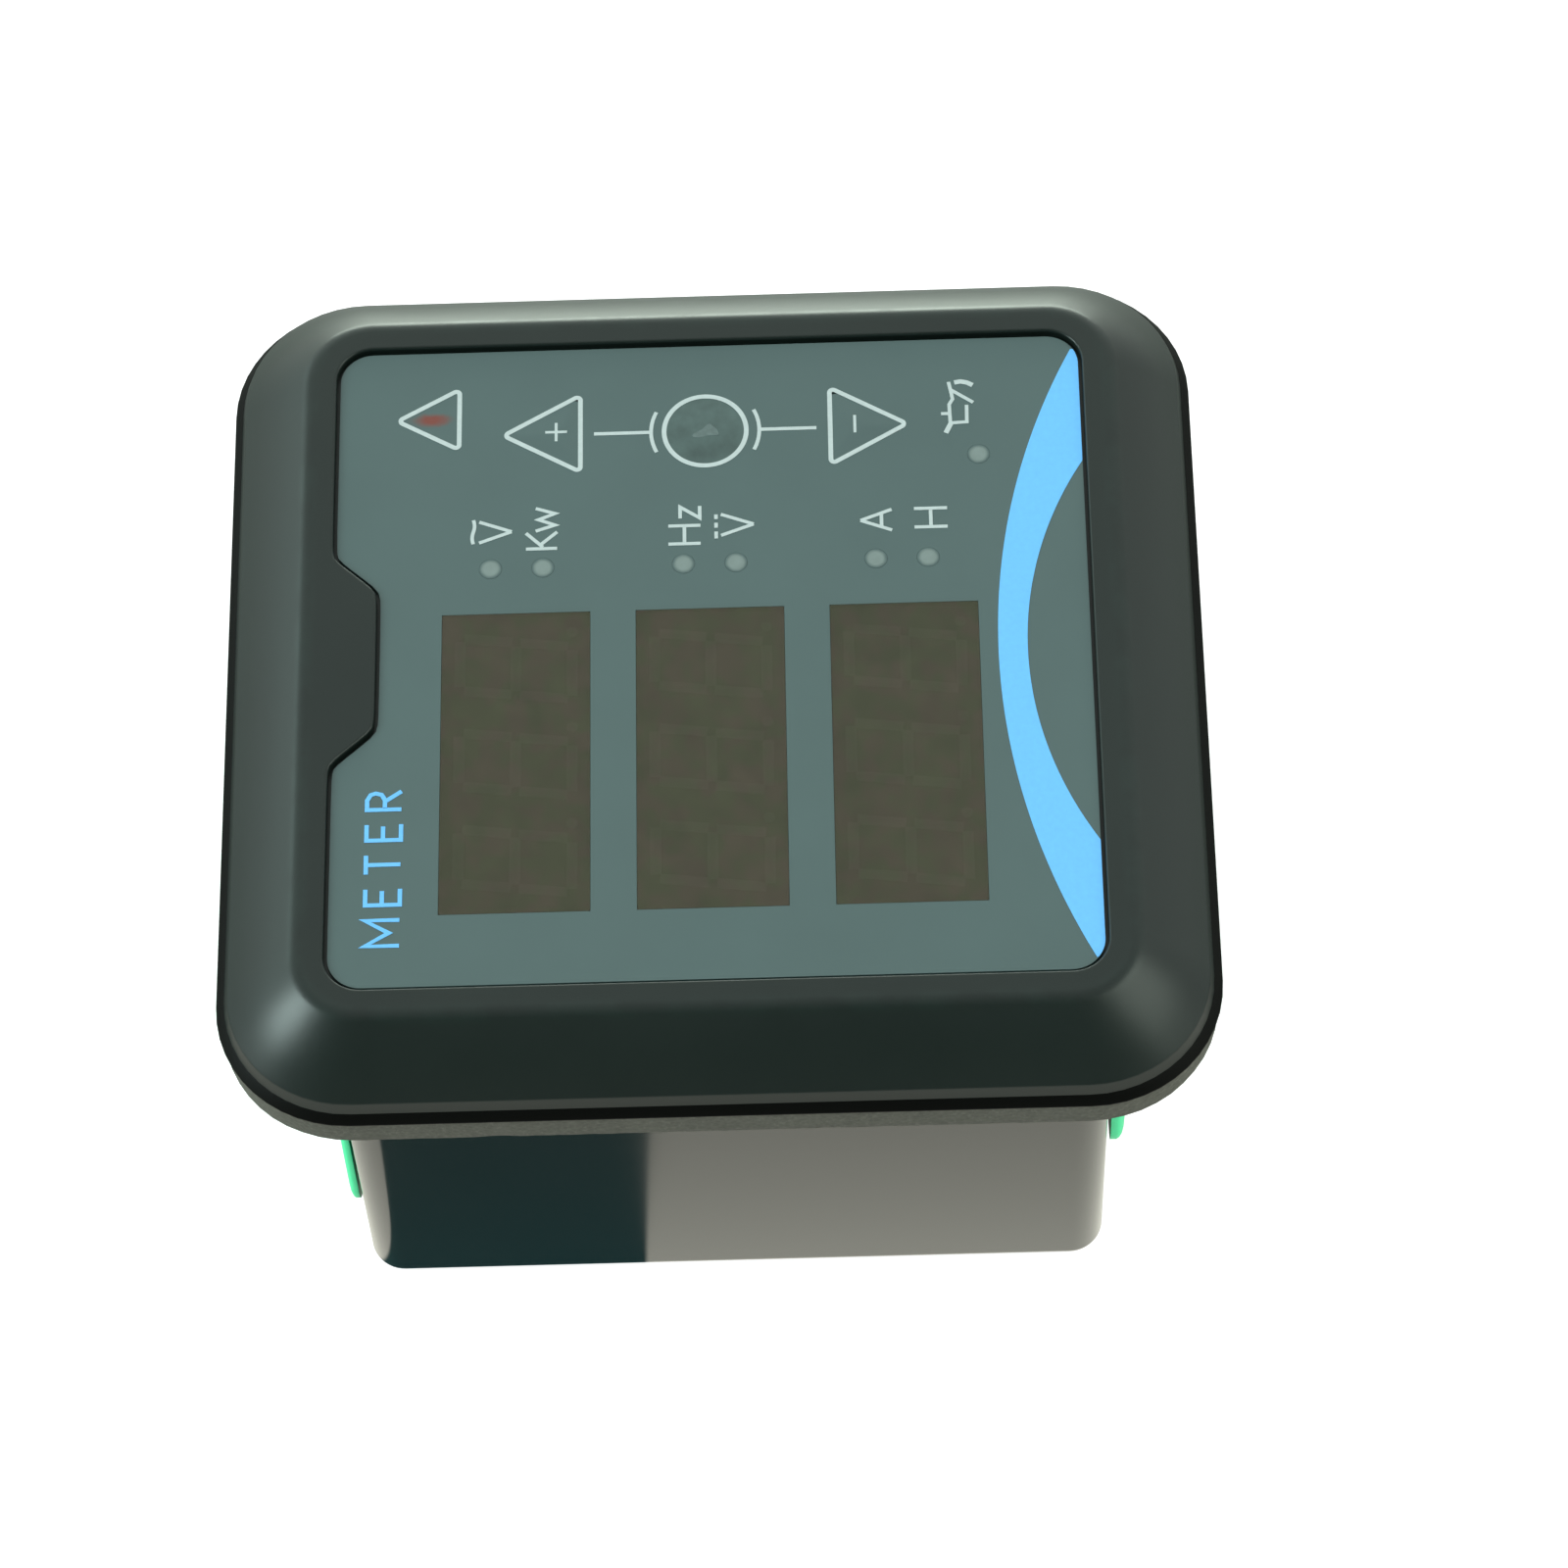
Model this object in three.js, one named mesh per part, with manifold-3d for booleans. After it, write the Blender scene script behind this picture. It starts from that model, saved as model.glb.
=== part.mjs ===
// A square digital panel meter for a generator set, resting on its back with its face up.
// Millimetres. +Z points out of the face, +Y to the face's top edge, +X to its right edge.
// The origin is the centre of the flat rear face.

import * as THREE from "three";
import { mergeVertices } from "three/addons/utils/BufferGeometryUtils.js";
import Module from "manifold-3d";

const wasm = await Module();
wasm.setup();

// ---------------------------------------------------------------- driving dimensions

// Heights above the rear face.
const FACE_TOP = 52.0; // the printed film's upper side
const FILM = 0.4; // thickness of the film, the filters and the key patches
const GAP = 0.1; // clearance between pieces that lie on each other
const PLATE_TOP = FACE_TOP - FILM - GAP;
const PLATE = 1.4; // the bezel's plate under the film
const DISPLAY_BOARD_TOP = 44.4;
const MAIN_BOARD_TOP = 23.6;
const BOARD = 1.6;
const CASE_TOP = PLATE_TOP - PLATE - GAP;
const REAR_WALL = 2.6;

// The face opening, which the bezel's section is carried round.
const FACE_HALF = { x: 31.9, y: 32.4 };
const FACE_CORNER = 3.2;
// The bezel's section: [offset outwards from the face opening, height above the film].
const BEZEL_SECTION = [
  [9.4, -6.3], [9.7, -6.1], [9.6, -5.8], [8.85, -5.15], [8.6, -4.3], [8.3, -3.85],
  [5.65, -1.7], [2.75, 0.1], [2.3, 0.38], [1.7, 0.5], [0.2, 0.5], [0, 0.3],
  [0, -0.5], [-0.6, -0.5], [-0.6, -1.9], [1.45, -1.9], [1.45, -6.3], [3.0, -6.3],
  [3.0, -2.4], [7.4, -5.2], [8.1, -6.3],
];
const SKIRT_BOTTOM = FACE_TOP - 6.3;
// The slope is a little narrower along X: a share of the offset beyond the ridge is left out.
const RIDGE = 2.3;
const NARROWER = 0.06;
// The locating tab in the middle of the top edge.
const TAB = { outer: 10.3, inner: 6.9, depth: 3.9, root: 13, rim: 0.5 };

// The case behind the panel: half sizes at the rear and at the front, which differ by the draft.
const CASE_REAR = { x: 32.6, y: 33.0, corner: 3.0 };
const CASE_FRONT = { x: 33.0, y: 33.45, corner: 3.8 };
const CASE_EDGE = 1.3; // round of the rear edge
const CASE_INSIDE = { x: 30.8, y: 30.0, corner: 2 };
const SCREW_AT = { x: 28.0, y: 27.2 };
const SCREW = { head: 2.4, shank: 0.9, seat: 31.5, tip: 42 };

const GASKET = { thickness: 3.0, margin: 9.35, clear: 0.4 };

// Displays: three windows one above another, each with a module of three digits.
const WINDOW = { x: -10.15, y: 0.17, width: 29.3, height: 12.74, pitch: 16.62 };
const MODULE = { width: 30.1, height: 13.6 };
const FIT = 0.08; // side clearance of a filter in the film

// Keys: two triangles and a round one between them, one under another.
const KEY_X = 22.62;
const KEY_ROUND = { y: 0.4, radius: 3.57 };
const KEY_TRIANGLE = { halfBase: 4.2, plus: [11.08, 18.42], minus: [-10.3, -17.6] };
const KEY_SEAM = 0.12;
const KEY_TRAVEL = 0.3;
const SWITCH = { half: 3.1, height: 3.5, bore: 1.85, stem: 1.65 };

// Indicators: name, x, y.
const LAMP_X = 8.94;
const LAMPS = [
  ["volts_ac", LAMP_X, 19.11],
  ["power", LAMP_X, 14.59],
  ["frequency", LAMP_X, 2.37],
  ["volts_dc", LAMP_X, -2.05],
  ["current", LAMP_X, -14.17],
  ["hours", LAMP_X, -18.67],
  ["oil", 19.44, -23.33],
];
const LAMP = { tip: 0.7, hole: 0.88, body: 1.4 };
const WARNING_LAMP = { x: 23.9, y: 23.5, halfX: 1.2, halfY: 0.9 };

// Clips that hold the meter in its panel: they slide in T slots in the top and bottom walls.
const CLIP = { halfWidth: 28.5, length: 26, corner: 4, inner: 33.55, thickness: 0.75, lip: 38.2 };
const CLIP_REAR = { top: 5.0, bottom: 12.7 }; // height of each clip's rear end
const T_SLOT = { x: 16, bottom: 30.9, shoulder: 32.2, neck: 1.6, head: 2.75, end: 42.6 };
const T_PLAY = 0.2;

// Pluggable terminals in the rear: number of ways and height on the rear face.
const WAY = 5.08;
const TERMINALS = { power: { ways: 8, y: 13 }, sensor: { ways: 6, y: -13 } };
const PLUG = { rear: 0.8, shoulder: 9.6, top: 20.0, below: 3.6, above: 7.0, tongue: 2.9 };
const HEADER = { half: 4.3, inside: 3.2, bottom: 9.9, roof: 20.4, pinTip: 12 };

const LABEL = { y: -25, halfX: 20, halfY: 3.5, depth: 0.35 };

// ---------------------------------------------------------------- solids

// A closed geometry as a solid that can be cut and joined.
function solid(geometry) {
  const bare = geometry.clone();
  bare.deleteAttribute("normal");
  bare.deleteAttribute("uv");
  const merged = mergeVertices(bare, 1e-4);
  return new wasm.Manifold(
    new wasm.Mesh({
      numProp: 3,
      vertProperties: merged.attributes.position.array,
      triVerts: new Uint32Array(merged.index.array),
    }),
  );
}

function geometryOf(made) {
  const mesh = made.getMesh();
  const geometry = new THREE.BufferGeometry();
  geometry.setAttribute("position", new THREE.BufferAttribute(mesh.vertProperties, 3));
  geometry.setIndex(new THREE.BufferAttribute(mesh.triVerts, 1));
  geometry.computeVertexNormals();
  return geometry;
}

const joined = (first, ...rest) => rest.reduce((all, next) => all.add(next), first);
const cut = (first, ...rest) => rest.reduce((left, next) => left.subtract(next), first);

// A polygon with round corners. Each corner is [x, y, radius].
function outline(corners, steps = 4) {
  const points = [];
  corners.forEach(([x, y, radius], i) => {
    const corner = new THREE.Vector2(x, y);
    if (!radius) {
      points.push(corner);
      return;
    }
    const [beforeX, beforeY] = corners[(i + corners.length - 1) % corners.length];
    const [afterX, afterY] = corners[(i + 1) % corners.length];
    const back = new THREE.Vector2(beforeX - x, beforeY - y).normalize();
    const ahead = new THREE.Vector2(afterX - x, afterY - y).normalize();
    const half = Math.acos(THREE.MathUtils.clamp(back.dot(ahead), -1, 1)) / 2;
    const middle = back.clone().add(ahead).setLength(radius / Math.sin(half)).add(corner);
    const first = back.multiplyScalar(radius / Math.tan(half)).add(corner).sub(middle);
    const last = ahead.multiplyScalar(radius / Math.tan(half)).add(corner).sub(middle);
    const turn = Math.atan2(first.cross(last), first.dot(last));
    for (let k = 0; k <= steps; k += 1) {
      const point = first.clone().rotateAround(new THREE.Vector2(), (turn * k) / steps);
      points.push(point.add(middle));
    }
  });
  return points;
}

function roundedBox(halfX, halfY, radius, steps = 6, x = 0, y = 0) {
  const corners = [[1, -1], [1, 1], [-1, 1], [-1, -1]];
  return outline(corners.map(([sx, sy]) => [x + sx * halfX, y + sy * halfY, radius]), steps);
}

function faceOutline(offset, steps) {
  const narrowed = NARROWER * Math.max(0, offset - RIDGE);
  const halfX = FACE_HALF.x + offset - narrowed;
  return roundedBox(halfX, FACE_HALF.y + offset, FACE_CORNER + offset, steps);
}

function slab(points, bottom, top) {
  const shape = new THREE.Shape(points);
  const geometry = new THREE.ExtrudeGeometry(shape, { depth: top - bottom, bevelEnabled: false });
  return solid(geometry.translate(0, 0, bottom));
}

function block([x0, x1], [y0, y1], [z0, z1]) {
  const geometry = new THREE.BoxGeometry(x1 - x0, y1 - y0, z1 - z0);
  return solid(geometry.translate((x0 + x1) / 2, (y0 + y1) / 2, (z0 + z1) / 2));
}

function post(x, y, radius, bottom, top, sides = 16) {
  const geometry = new THREE.CylinderGeometry(radius, radius, top - bottom, sides);
  return solid(geometry.rotateX(Math.PI / 2).translate(x, y, (bottom + top) / 2));
}

// A turned piece on a vertical axis: profile points are [radius, height], from the bottom up.
function turned(x, y, profile, sides = 12) {
  const points = profile.map(([radius, height]) => new THREE.Vector2(radius, height));
  return solid(new THREE.LatheGeometry(points, sides).rotateX(Math.PI / 2).translate(x, y, 0));
}

// A closed mesh through level outlines with equal point counts, each { points, z }.
// With ends, the first and last are capped; without, the last joins the first round a ring.
function skin(levels, ends) {
  const count = levels[0].points.length;
  const positions = levels.flatMap(({ points, z }) => points.flatMap((p) => [p.x, p.y, z]));
  const index = [];
  const bands = ends ? levels.length - 1 : levels.length;
  for (let k = 0; k < bands; k += 1) {
    const low = k * count;
    const high = ((k + 1) % levels.length) * count;
    for (let i = 0; i < count; i += 1) {
      const j = (i + 1) % count;
      index.push(low + i, low + j, high + j, low + i, high + j, high + i);
    }
  }
  const lastLevel = (levels.length - 1) * count;
  for (let i = 1; ends && i < count - 1; i += 1) {
    index.push(0, i + 1, i, lastLevel, lastLevel + i, lastLevel + i + 1);
  }
  const geometry = new THREE.BufferGeometry();
  geometry.setAttribute("position", new THREE.Float32BufferAttribute(positions, 3));
  geometry.setIndex(index);
  return solid(geometry);
}

// ---------------------------------------------------------------- finishes

const finish = (color, roughness, metalness = 0) =>
  new THREE.MeshStandardMaterial({ color, roughness, metalness });

const FINISHES = {
  bezel: finish("#26292a", 0.38),
  film: finish("#56696a", 0.5),
  filter: finish("#4a4438", 0.45),
  foam: finish("#3c3d34", 0.95),
  casing: finish("#2b2c2a", 0.3),
  clip: finish("#1fd98c", 0.45),
  module: finish("#2a2826", 0.5),
  lamp: finish("#a9b8b2", 0.25),
  board: finish("#1e5a3a", 0.5),
  chip: finish("#1b1b1c", 0.5),
  steel: finish("#b9bcbe", 0.35, 0.9),
  terminal: finish("#1f9d57", 0.45),
  nylon: finish("#e8e6df", 0.5),
  can: finish("#2c3440", 0.4),
  ceramic: finish("#2f6fb0", 0.4),
  copper: finish("#b0642e", 0.35, 0.6),
  label: finish("#c9ccca", 0.6),
};

const meter = new THREE.Group();

function add(name, made, finishName) {
  const mesh = new THREE.Mesh(geometryOf(made), FINISHES[finishName]);
  mesh.name = name;
  meter.add(mesh);
}

// ---------------------------------------------------------------- face

const windowRows = [["top", 1], ["middle", 0], ["bottom", -1]].map(([name, row]) => ({
  name,
  y: WINDOW.y + row * WINDOW.pitch,
}));

const windowBox = (row, width, height) =>
  roundedBox(width / 2, height / 2, 0.2, 1, WINDOW.x, row.y);

// The tab's outline, grown by a clearance where the film goes round it.
function tabOutline(clear = 0) {
  const { outer, inner, depth, root } = TAB;
  const low = FACE_HALF.y - depth - clear;
  const edge = FACE_HALF.y - clear;
  const high = FACE_HALF.y + 1;
  return outline([
    [-root, high, 0], [-root, edge, 0], [-outer - clear, edge, 1.2],
    [-inner - clear, low, 1.4], [inner + clear, low, 1.4],
    [outer + clear, edge, 1.2], [root, edge, 0], [root, high, 0],
  ]);
}

// A triangular key's outline, drawn in from its printed line: an inset of a triangle is
// the same triangle made smaller about the centre of its inscribed circle.
function keyTriangle([base, apex], inset) {
  const { halfBase } = KEY_TRIANGLE;
  const height = Math.abs(apex - base);
  const side = Math.hypot(halfBase, height);
  const inradius = (halfBase * height) / (halfBase + side);
  const up = Math.sign(apex - base);
  const middle = base + up * inradius;
  const scale = 1 - inset / inradius;
  const at = (x, y) => [KEY_X + x * scale, middle + (y - middle) * scale, 0.5];
  const corners = [at(-halfBase, base), at(halfBase, base), at(0, apex)];
  return outline(up > 0 ? corners : corners.reverse());
}

const roundKey = (grow) => {
  const ring = [];
  for (let k = 0; k < 32; k += 1) {
    const angle = (k * Math.PI) / 16;
    const radius = KEY_ROUND.radius + grow;
    const centre = new THREE.Vector2(KEY_X, KEY_ROUND.y);
    ring.push(new THREE.Vector2(radius, 0).rotateAround(new THREE.Vector2(), angle).add(centre));
  }
  return ring;
};

const KEYS = {
  plus: (grow) => keyTriangle(KEY_TRIANGLE.plus, 0.2 - grow),
  select: roundKey,
  minus: (grow) => keyTriangle(KEY_TRIANGLE.minus, 0.2 - grow),
};
const KEY_CENTRE = { plus: 13.3, select: KEY_ROUND.y, minus: -12.5 };

function frontBezel() {
  const levels = BEZEL_SECTION.map(([offset, height]) => ({
    points: faceOutline(offset),
    z: FACE_TOP + height,
  }));
  const ring = skin(levels, false);
  const plate = slab(faceOutline(-0.3), PLATE_TOP - PLATE, PLATE_TOP);
  const tab = slab(tabOutline(), PLATE_TOP - 0.2, FACE_TOP + TAB.rim);
  const posts = [];
  const holes = [];
  for (const x of [-SCREW_AT.x, SCREW_AT.x]) {
    for (const y of [-SCREW_AT.y, SCREW_AT.y]) {
      posts.push(post(x, y, 2.6, 34.2, PLATE_TOP - 0.7));
      holes.push(post(x, y, SCREW.shank + GAP, 33, SCREW.tip + 2, 10));
    }
  }
  const through = [PLATE_TOP - PLATE - 1, PLATE_TOP + 1];
  for (const row of windowRows) {
    holes.push(slab(windowBox(row, MODULE.width + 0.5, MODULE.height + 0.5), ...through));
  }
  for (const key of Object.values(KEYS)) holes.push(slab(key(0.4), ...through));
  for (const [, x, y] of LAMPS) holes.push(post(x, y, LAMP.hole, ...through, 10));
  const { x, y, halfX, halfY } = WARNING_LAMP;
  holes.push(slab(roundedBox(halfX + 0.2, halfY + 0.2, 0.2, 1, x, y), ...through));
  return cut(joined(ring, plate, tab, ...posts), ...holes);
}

function faceFilm() {
  const through = [FACE_TOP - FILM - 1, FACE_TOP + 1];
  const sheet = slab(faceOutline(-0.15), FACE_TOP - FILM, FACE_TOP);
  const holes = [slab(tabOutline(0.15), ...through)];
  for (const row of windowRows) {
    holes.push(slab(windowBox(row, WINDOW.width, WINDOW.height), ...through));
  }
  for (const key of Object.values(KEYS)) holes.push(slab(key(KEY_SEAM), ...through));
  for (const [, x, y] of LAMPS) holes.push(post(x, y, LAMP.hole, ...through, 12));
  return cut(sheet, ...holes);
}

function displays() {
  for (const row of windowRows) {
    const filter = windowBox(row, WINDOW.width - 2 * FIT, WINDOW.height - 2 * FIT);
    add("display_filter_" + row.name, slab(filter, FACE_TOP - FILM, FACE_TOP), "filter");
    const module = windowBox(row, MODULE.width, MODULE.height);
    add("display_module_" + row.name, slab(module, DISPLAY_BOARD_TOP + GAP, PLATE_TOP), "module");
  }
}

function lamps() {
  const base = DISPLAY_BOARD_TOP + GAP;
  const neck = PLATE_TOP - PLATE - 0.2;
  for (const [name, x, y] of LAMPS) {
    const dome = [[LAMP.tip, FACE_TOP - 0.25], [LAMP.tip * 0.7, FACE_TOP - 0.1], [0, FACE_TOP]];
    const profile = [[0, base], [LAMP.body, base], [LAMP.body, neck], [LAMP.tip, neck], ...dome];
    add("lamp_" + name, turned(x, y, profile), "lamp");
  }
  const { x, y, halfX, halfY } = WARNING_LAMP;
  const window = block([x - halfX, x + halfX], [y - halfY, y + halfY], [base, PLATE_TOP]);
  add("lamp_warning", window, "lamp");
}

function keys() {
  const base = DISPLAY_BOARD_TOP + GAP;
  const bodyTop = base + SWITCH.height;
  const boreFloor = bodyTop - 1.6;
  const pusher = FACE_TOP - 1.55;
  for (const [name, patch] of Object.entries(KEYS)) {
    const y = KEY_CENTRE[name];
    const cap = slab(patch(0), FACE_TOP - FILM, FACE_TOP);
    add("key_" + name, joined(cap, post(KEY_X, y, 1.9, pusher, FACE_TOP - FILM + 0.1)), "film");
    const stemFoot = boreFloor + KEY_TRAVEL + 0.2;
    add("switch_stem_" + name, post(KEY_X, y, SWITCH.stem, stemFoot, pusher - GAP, 12), "nylon");
    const { half } = SWITCH;
    const housing = block([KEY_X - half, KEY_X + half], [y - half, y + half], [base, bodyTop]);
    const bore = post(KEY_X, y, SWITCH.bore, boreFloor, bodyTop + 1, 12);
    add("switch_body_" + name, cut(housing, bore), "chip");
  }
}

// ---------------------------------------------------------------- case

function caseShell() {
  const levels = [];
  for (let k = 0; k <= 4; k += 1) {
    const angle = (k * Math.PI) / 8;
    const inset = CASE_EDGE * (1 - Math.sin(angle));
    const z = CASE_EDGE * (1 - Math.cos(angle));
    const radius = CASE_REAR.corner - inset * 0.8;
    levels.push({ points: roundedBox(CASE_REAR.x - inset, CASE_REAR.y - inset, radius), z });
  }
  const { x, y, corner } = CASE_FRONT;
  levels.push({ points: roundedBox(x, y, corner), z: CASE_TOP });
  return skin(levels, true);
}

// One T slot, open at the rear, for the wall on side +1 or -1 of Y.
function tSlot(x, side) {
  const { bottom, shoulder, neck, head, end } = T_SLOT;
  const span = (from, to) => [side * from, side * to].sort((a, b) => a - b);
  return joined(
    block([x - head, x + head], span(bottom, shoulder), [-1, end]),
    block([x - neck, x + neck], span(shoulder - 0.1, CASE_FRONT.y + 1), [-1, end]),
  );
}

function rearCase() {
  const { x, y, corner } = CASE_INSIDE;
  const hollow = slab(roundedBox(x, y, corner, 3), REAR_WALL, CASE_TOP + 1);
  const columns = [];
  const holes = [];
  for (const sx of [-1, 1]) {
    for (const sy of [-1, 1]) {
      const at = [sx * SCREW_AT.x, sy * SCREW_AT.y];
      columns.push(post(...at, 3.6, REAR_WALL - 1, 34));
      holes.push(post(...at, SCREW.head + 0.3, -1, SCREW.seat));
      holes.push(post(...at, SCREW.shank + 0.45, SCREW.seat - 1, 35, 10));
    }
    holes.push(tSlot(sx * T_SLOT.x, 1), tSlot(sx * T_SLOT.x, -1));
  }
  for (const { ways, y: middle } of Object.values(TERMINALS)) {
    const half = (ways * WAY) / 2 + 0.5;
    const span = [middle - PLUG.below - 0.5, middle + PLUG.above + 0.5];
    holes.push(block([-half, half], span, [-1, REAR_WALL + 1]));
  }
  const recess = roundedBox(LABEL.halfX, LABEL.halfY, 1, 2, 0, LABEL.y);
  holes.push(slab(recess, -1, LABEL.depth));
  // The columns reach past the walls, so they are kept to the shell's outside shape.
  const shell = caseShell();
  return cut(joined(cut(shell, hollow), joined(...columns).intersect(shell)), ...holes);
}

function gasket() {
  const top = SKIRT_BOTTOM - GAP;
  const bottom = top - GASKET.thickness;
  const { margin, clear } = GASKET;
  const { x, y, corner } = CASE_FRONT;
  const hole = roundedBox(x + clear, y + clear, corner + clear);
  return cut(slab(faceOutline(margin), bottom, top), slab(hole, bottom - 1, top + 1));
}

function screws() {
  const { head, shank, seat, tip } = SCREW;
  let number = 1;
  for (const x of [-SCREW_AT.x, SCREW_AT.x]) {
    for (const y of [-SCREW_AT.y, SCREW_AT.y]) {
      const pan = post(x, y, head, seat - 2, seat - GAP);
      const thread = post(x, y, shank, seat - 1, tip, 10);
      const drive = post(x, y, 1.0, seat - 3, seat - 1.0, 6);
      add("case_screw_" + number, cut(joined(pan, thread), drive), "steel");
      number += 1;
    }
  }
}

// ---------------------------------------------------------------- panel clips

// A clip lies on the wall on side +1 or -1 of Y, with its rear end at the given height.
function panelClip(side, rear) {
  const { halfWidth, length, corner, inner, thickness, lip } = CLIP;
  const front = rear + length;
  const ends = [[-halfWidth, rear, corner], [halfWidth, rear, corner]];
  const flat = new THREE.Shape(outline([...ends, [halfWidth, front, 0], [-halfWidth, front, 0]]));
  // The shape is drawn in X and Z, then stood up, so its thickness runs along Y.
  const sheet = new THREE.ExtrudeGeometry(flat, { depth: thickness, bevelEnabled: false });
  const plate = solid(sheet.rotateX(Math.PI / 2).translate(0, inner + thickness, 0));
  const foot = block([-halfWidth, halfWidth], [inner, lip], [front - 1.8, front]);
  const rails = [-T_SLOT.x, T_SLOT.x].flatMap((x) => {
    const { bottom, shoulder, neck, head } = T_SLOT;
    const span = [rear + 2, front - 2.5];
    return [
      block([x - neck + T_PLAY, x + neck - T_PLAY], [shoulder - 0.5, inner + 0.2], span),
      block([x - head + T_PLAY, x + head - T_PLAY], [bottom + T_PLAY, shoulder - T_PLAY], span),
    ];
  });
  const proud = [inner + thickness - 0.2, inner + thickness + 0.35];
  const ribs = [5, 8, 11, 14].map((rise) => block([-10, 10], proud, [rear + rise, rear + rise + 1.2]));
  const made = joined(plate, foot, ...rails, ...ribs);
  return side > 0 ? made : made.rotate([0, 0, 180]);
}

// ---------------------------------------------------------------- boards and what is on them

// A board that clears the corner columns by square notches.
function circuitBoard(top, notchX, notchY) {
  const x = 30.2;
  const y = 29.4;
  const quarter = [[x, notchY], [notchX, notchY], [notchX, y]];
  const ring = [
    ...quarter.map(([a, b]) => [a, b, 0]),
    ...quarter.map(([a, b]) => [-a, b, 0]).reverse(),
    ...quarter.map(([a, b]) => [-a, -b, 0]),
    ...quarter.map(([a, b]) => [a, -b, 0]).reverse(),
  ];
  return slab(outline(ring), top - BOARD, top);
}

function boards() {
  add("display_board", circuitBoard(DISPLAY_BOARD_TOP, 25.2, 24.4), "board");
  add("main_board", circuitBoard(MAIN_BOARD_TOP, 23.8, 23.0), "board");
  const under = DISPLAY_BOARD_TOP - BOARD - GAP;
  const over = MAIN_BOARD_TOP + GAP;
  let number = 1;
  for (const x of [-18, 18]) {
    for (const y of [-26.4, 26.4]) {
      add("board_spacer_" + number, post(x, y, 2.5, over, under, 6), "nylon");
      number += 1;
    }
  }
  const linkY = -20.5;
  const linkHalf = 15.3;
  const socket = block([-linkHalf, linkHalf], [linkY - 1.3, linkY + 1.3], [over, over + 8.5]);
  const grooveHalf = linkHalf - 0.6;
  const grooveY = [linkY - 0.5, linkY + 0.5];
  const groove = block([-grooveHalf, grooveHalf], grooveY, [over + 2, over + 9]);
  add("link_socket", cut(socket, groove), "chip");
  const strip = block([-linkHalf, linkHalf], [linkY - 1.3, linkY + 1.3], [under - 2.5, under]);
  const pins = [];
  for (let k = 0; k < 12; k += 1) {
    const x = (k - 5.5) * 2.54;
    pins.push(block([x - 0.32, x + 0.32], [linkY - 0.32, linkY + 0.32], [over + 3, under - 2.4]));
  }
  add("link_header", joined(strip, ...pins), "chip");
  add("microcontroller", block([3, 13], [4, 14], [under - 1.4, under]), "chip");
  add("display_driver", block([-15, -7.5], [2, 12], [under - 2.3, under]), "chip");
}

function powerParts() {
  const floor = MAIN_BOARD_TOP + GAP;
  const can = (radius, height) => [
    [0, floor], [radius, floor], [radius, floor + 1.2], [radius - 0.4, floor + 1.7],
    [radius, floor + 2.2], [radius, floor + height - 0.5],
    [radius - 0.5, floor + height], [0, floor + height],
  ];
  add("filter_capacitor_large", turned(-20, -6, can(5, 15), 20), "can");
  add("filter_capacitor_small", turned(-20, 7, can(4, 12), 16), "can");
  const core = block([2, 20], [-12, 5], [floor, floor + 14]);
  const window = block([6, 16], [-8, 1], [floor + 2, floor + 15]);
  add("current_transformer", cut(core, window), "chip");
  const wound = post(11, -3.5, 4.2, floor + 2.2, floor + 13.4, 20);
  add("transformer_winding", cut(wound, post(11, -3.5, 2, floor + 1, floor + 14, 12)), "copper");
  add("bridge_rectifier", block([-9, -1], [-14, -8], [floor, floor + 3]), "chip");
  const tab = block([-9, 1], [9.4, 10.6], [floor, floor + 16]);
  add("voltage_regulator", joined(block([-9, 1], [10.4, 14], [floor, floor + 9]), tab), "chip");
  const disc = new THREE.CylinderGeometry(5, 5, 3.4, 20).translate(11, 16, floor + 5.2);
  add("surge_varistor", solid(disc), "ceramic");
  const drum = [[0, floor], [4.2, floor], [4.2, floor + 7.5], [3.8, floor + 8], [0, floor + 8]];
  add("fuse", turned(-5, 0, drum, 16), "chip");
}

// ---------------------------------------------------------------- terminals

function terminals() {
  for (const [name, { ways, y }] of Object.entries(TERMINALS)) {
    const half = (ways * WAY) / 2;
    const centres = Array.from({ length: ways }, (_, k) => (k - (ways - 1) / 2) * WAY);
    const { half: outside, inside, bottom, roof, pinTip } = HEADER;
    const top = MAIN_BOARD_TOP - BOARD - GAP;
    const shroud = block([-half - 1.3, half + 1.3], [y - outside, y + outside], [bottom, top]);
    const mouth = block([-half - 0.3, half + 0.3], [y - inside, y + inside], [bottom - 1, roof]);
    const pinY = [y - 0.5, y + 0.5];
    const pins = centres.map((x) => block([x - 0.5, x + 0.5], pinY, [pinTip, roof + 0.5]));
    add("terminal_header_" + name, joined(cut(shroud, mouth), ...pins), "terminal");

    const body = block([-half, half], [y - PLUG.below, y + PLUG.above], [PLUG.rear, PLUG.shoulder]);
    const tongueY = [y - PLUG.tongue, y + PLUG.tongue];
    const tongue = block([-half, half], tongueY, [PLUG.shoulder - 0.5, PLUG.top]);
    const holes = centres.flatMap((x) => [
      block([x - 0.8, x + 0.8], [y - 0.8, y + 0.8], [pinTip - 1, PLUG.top + 1]),
      block([x - 1.6, x + 1.6], [y - 1.4, y + 2.2], [0, 7]),
      block([x - 1.7, x + 1.7], [y + 4, y + PLUG.above + 1], [3.6, 7]),
    ]);
    add("terminal_plug_" + name, cut(joined(body, tongue), ...holes), "terminal");
  }
}

// ---------------------------------------------------------------- assembly

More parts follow.
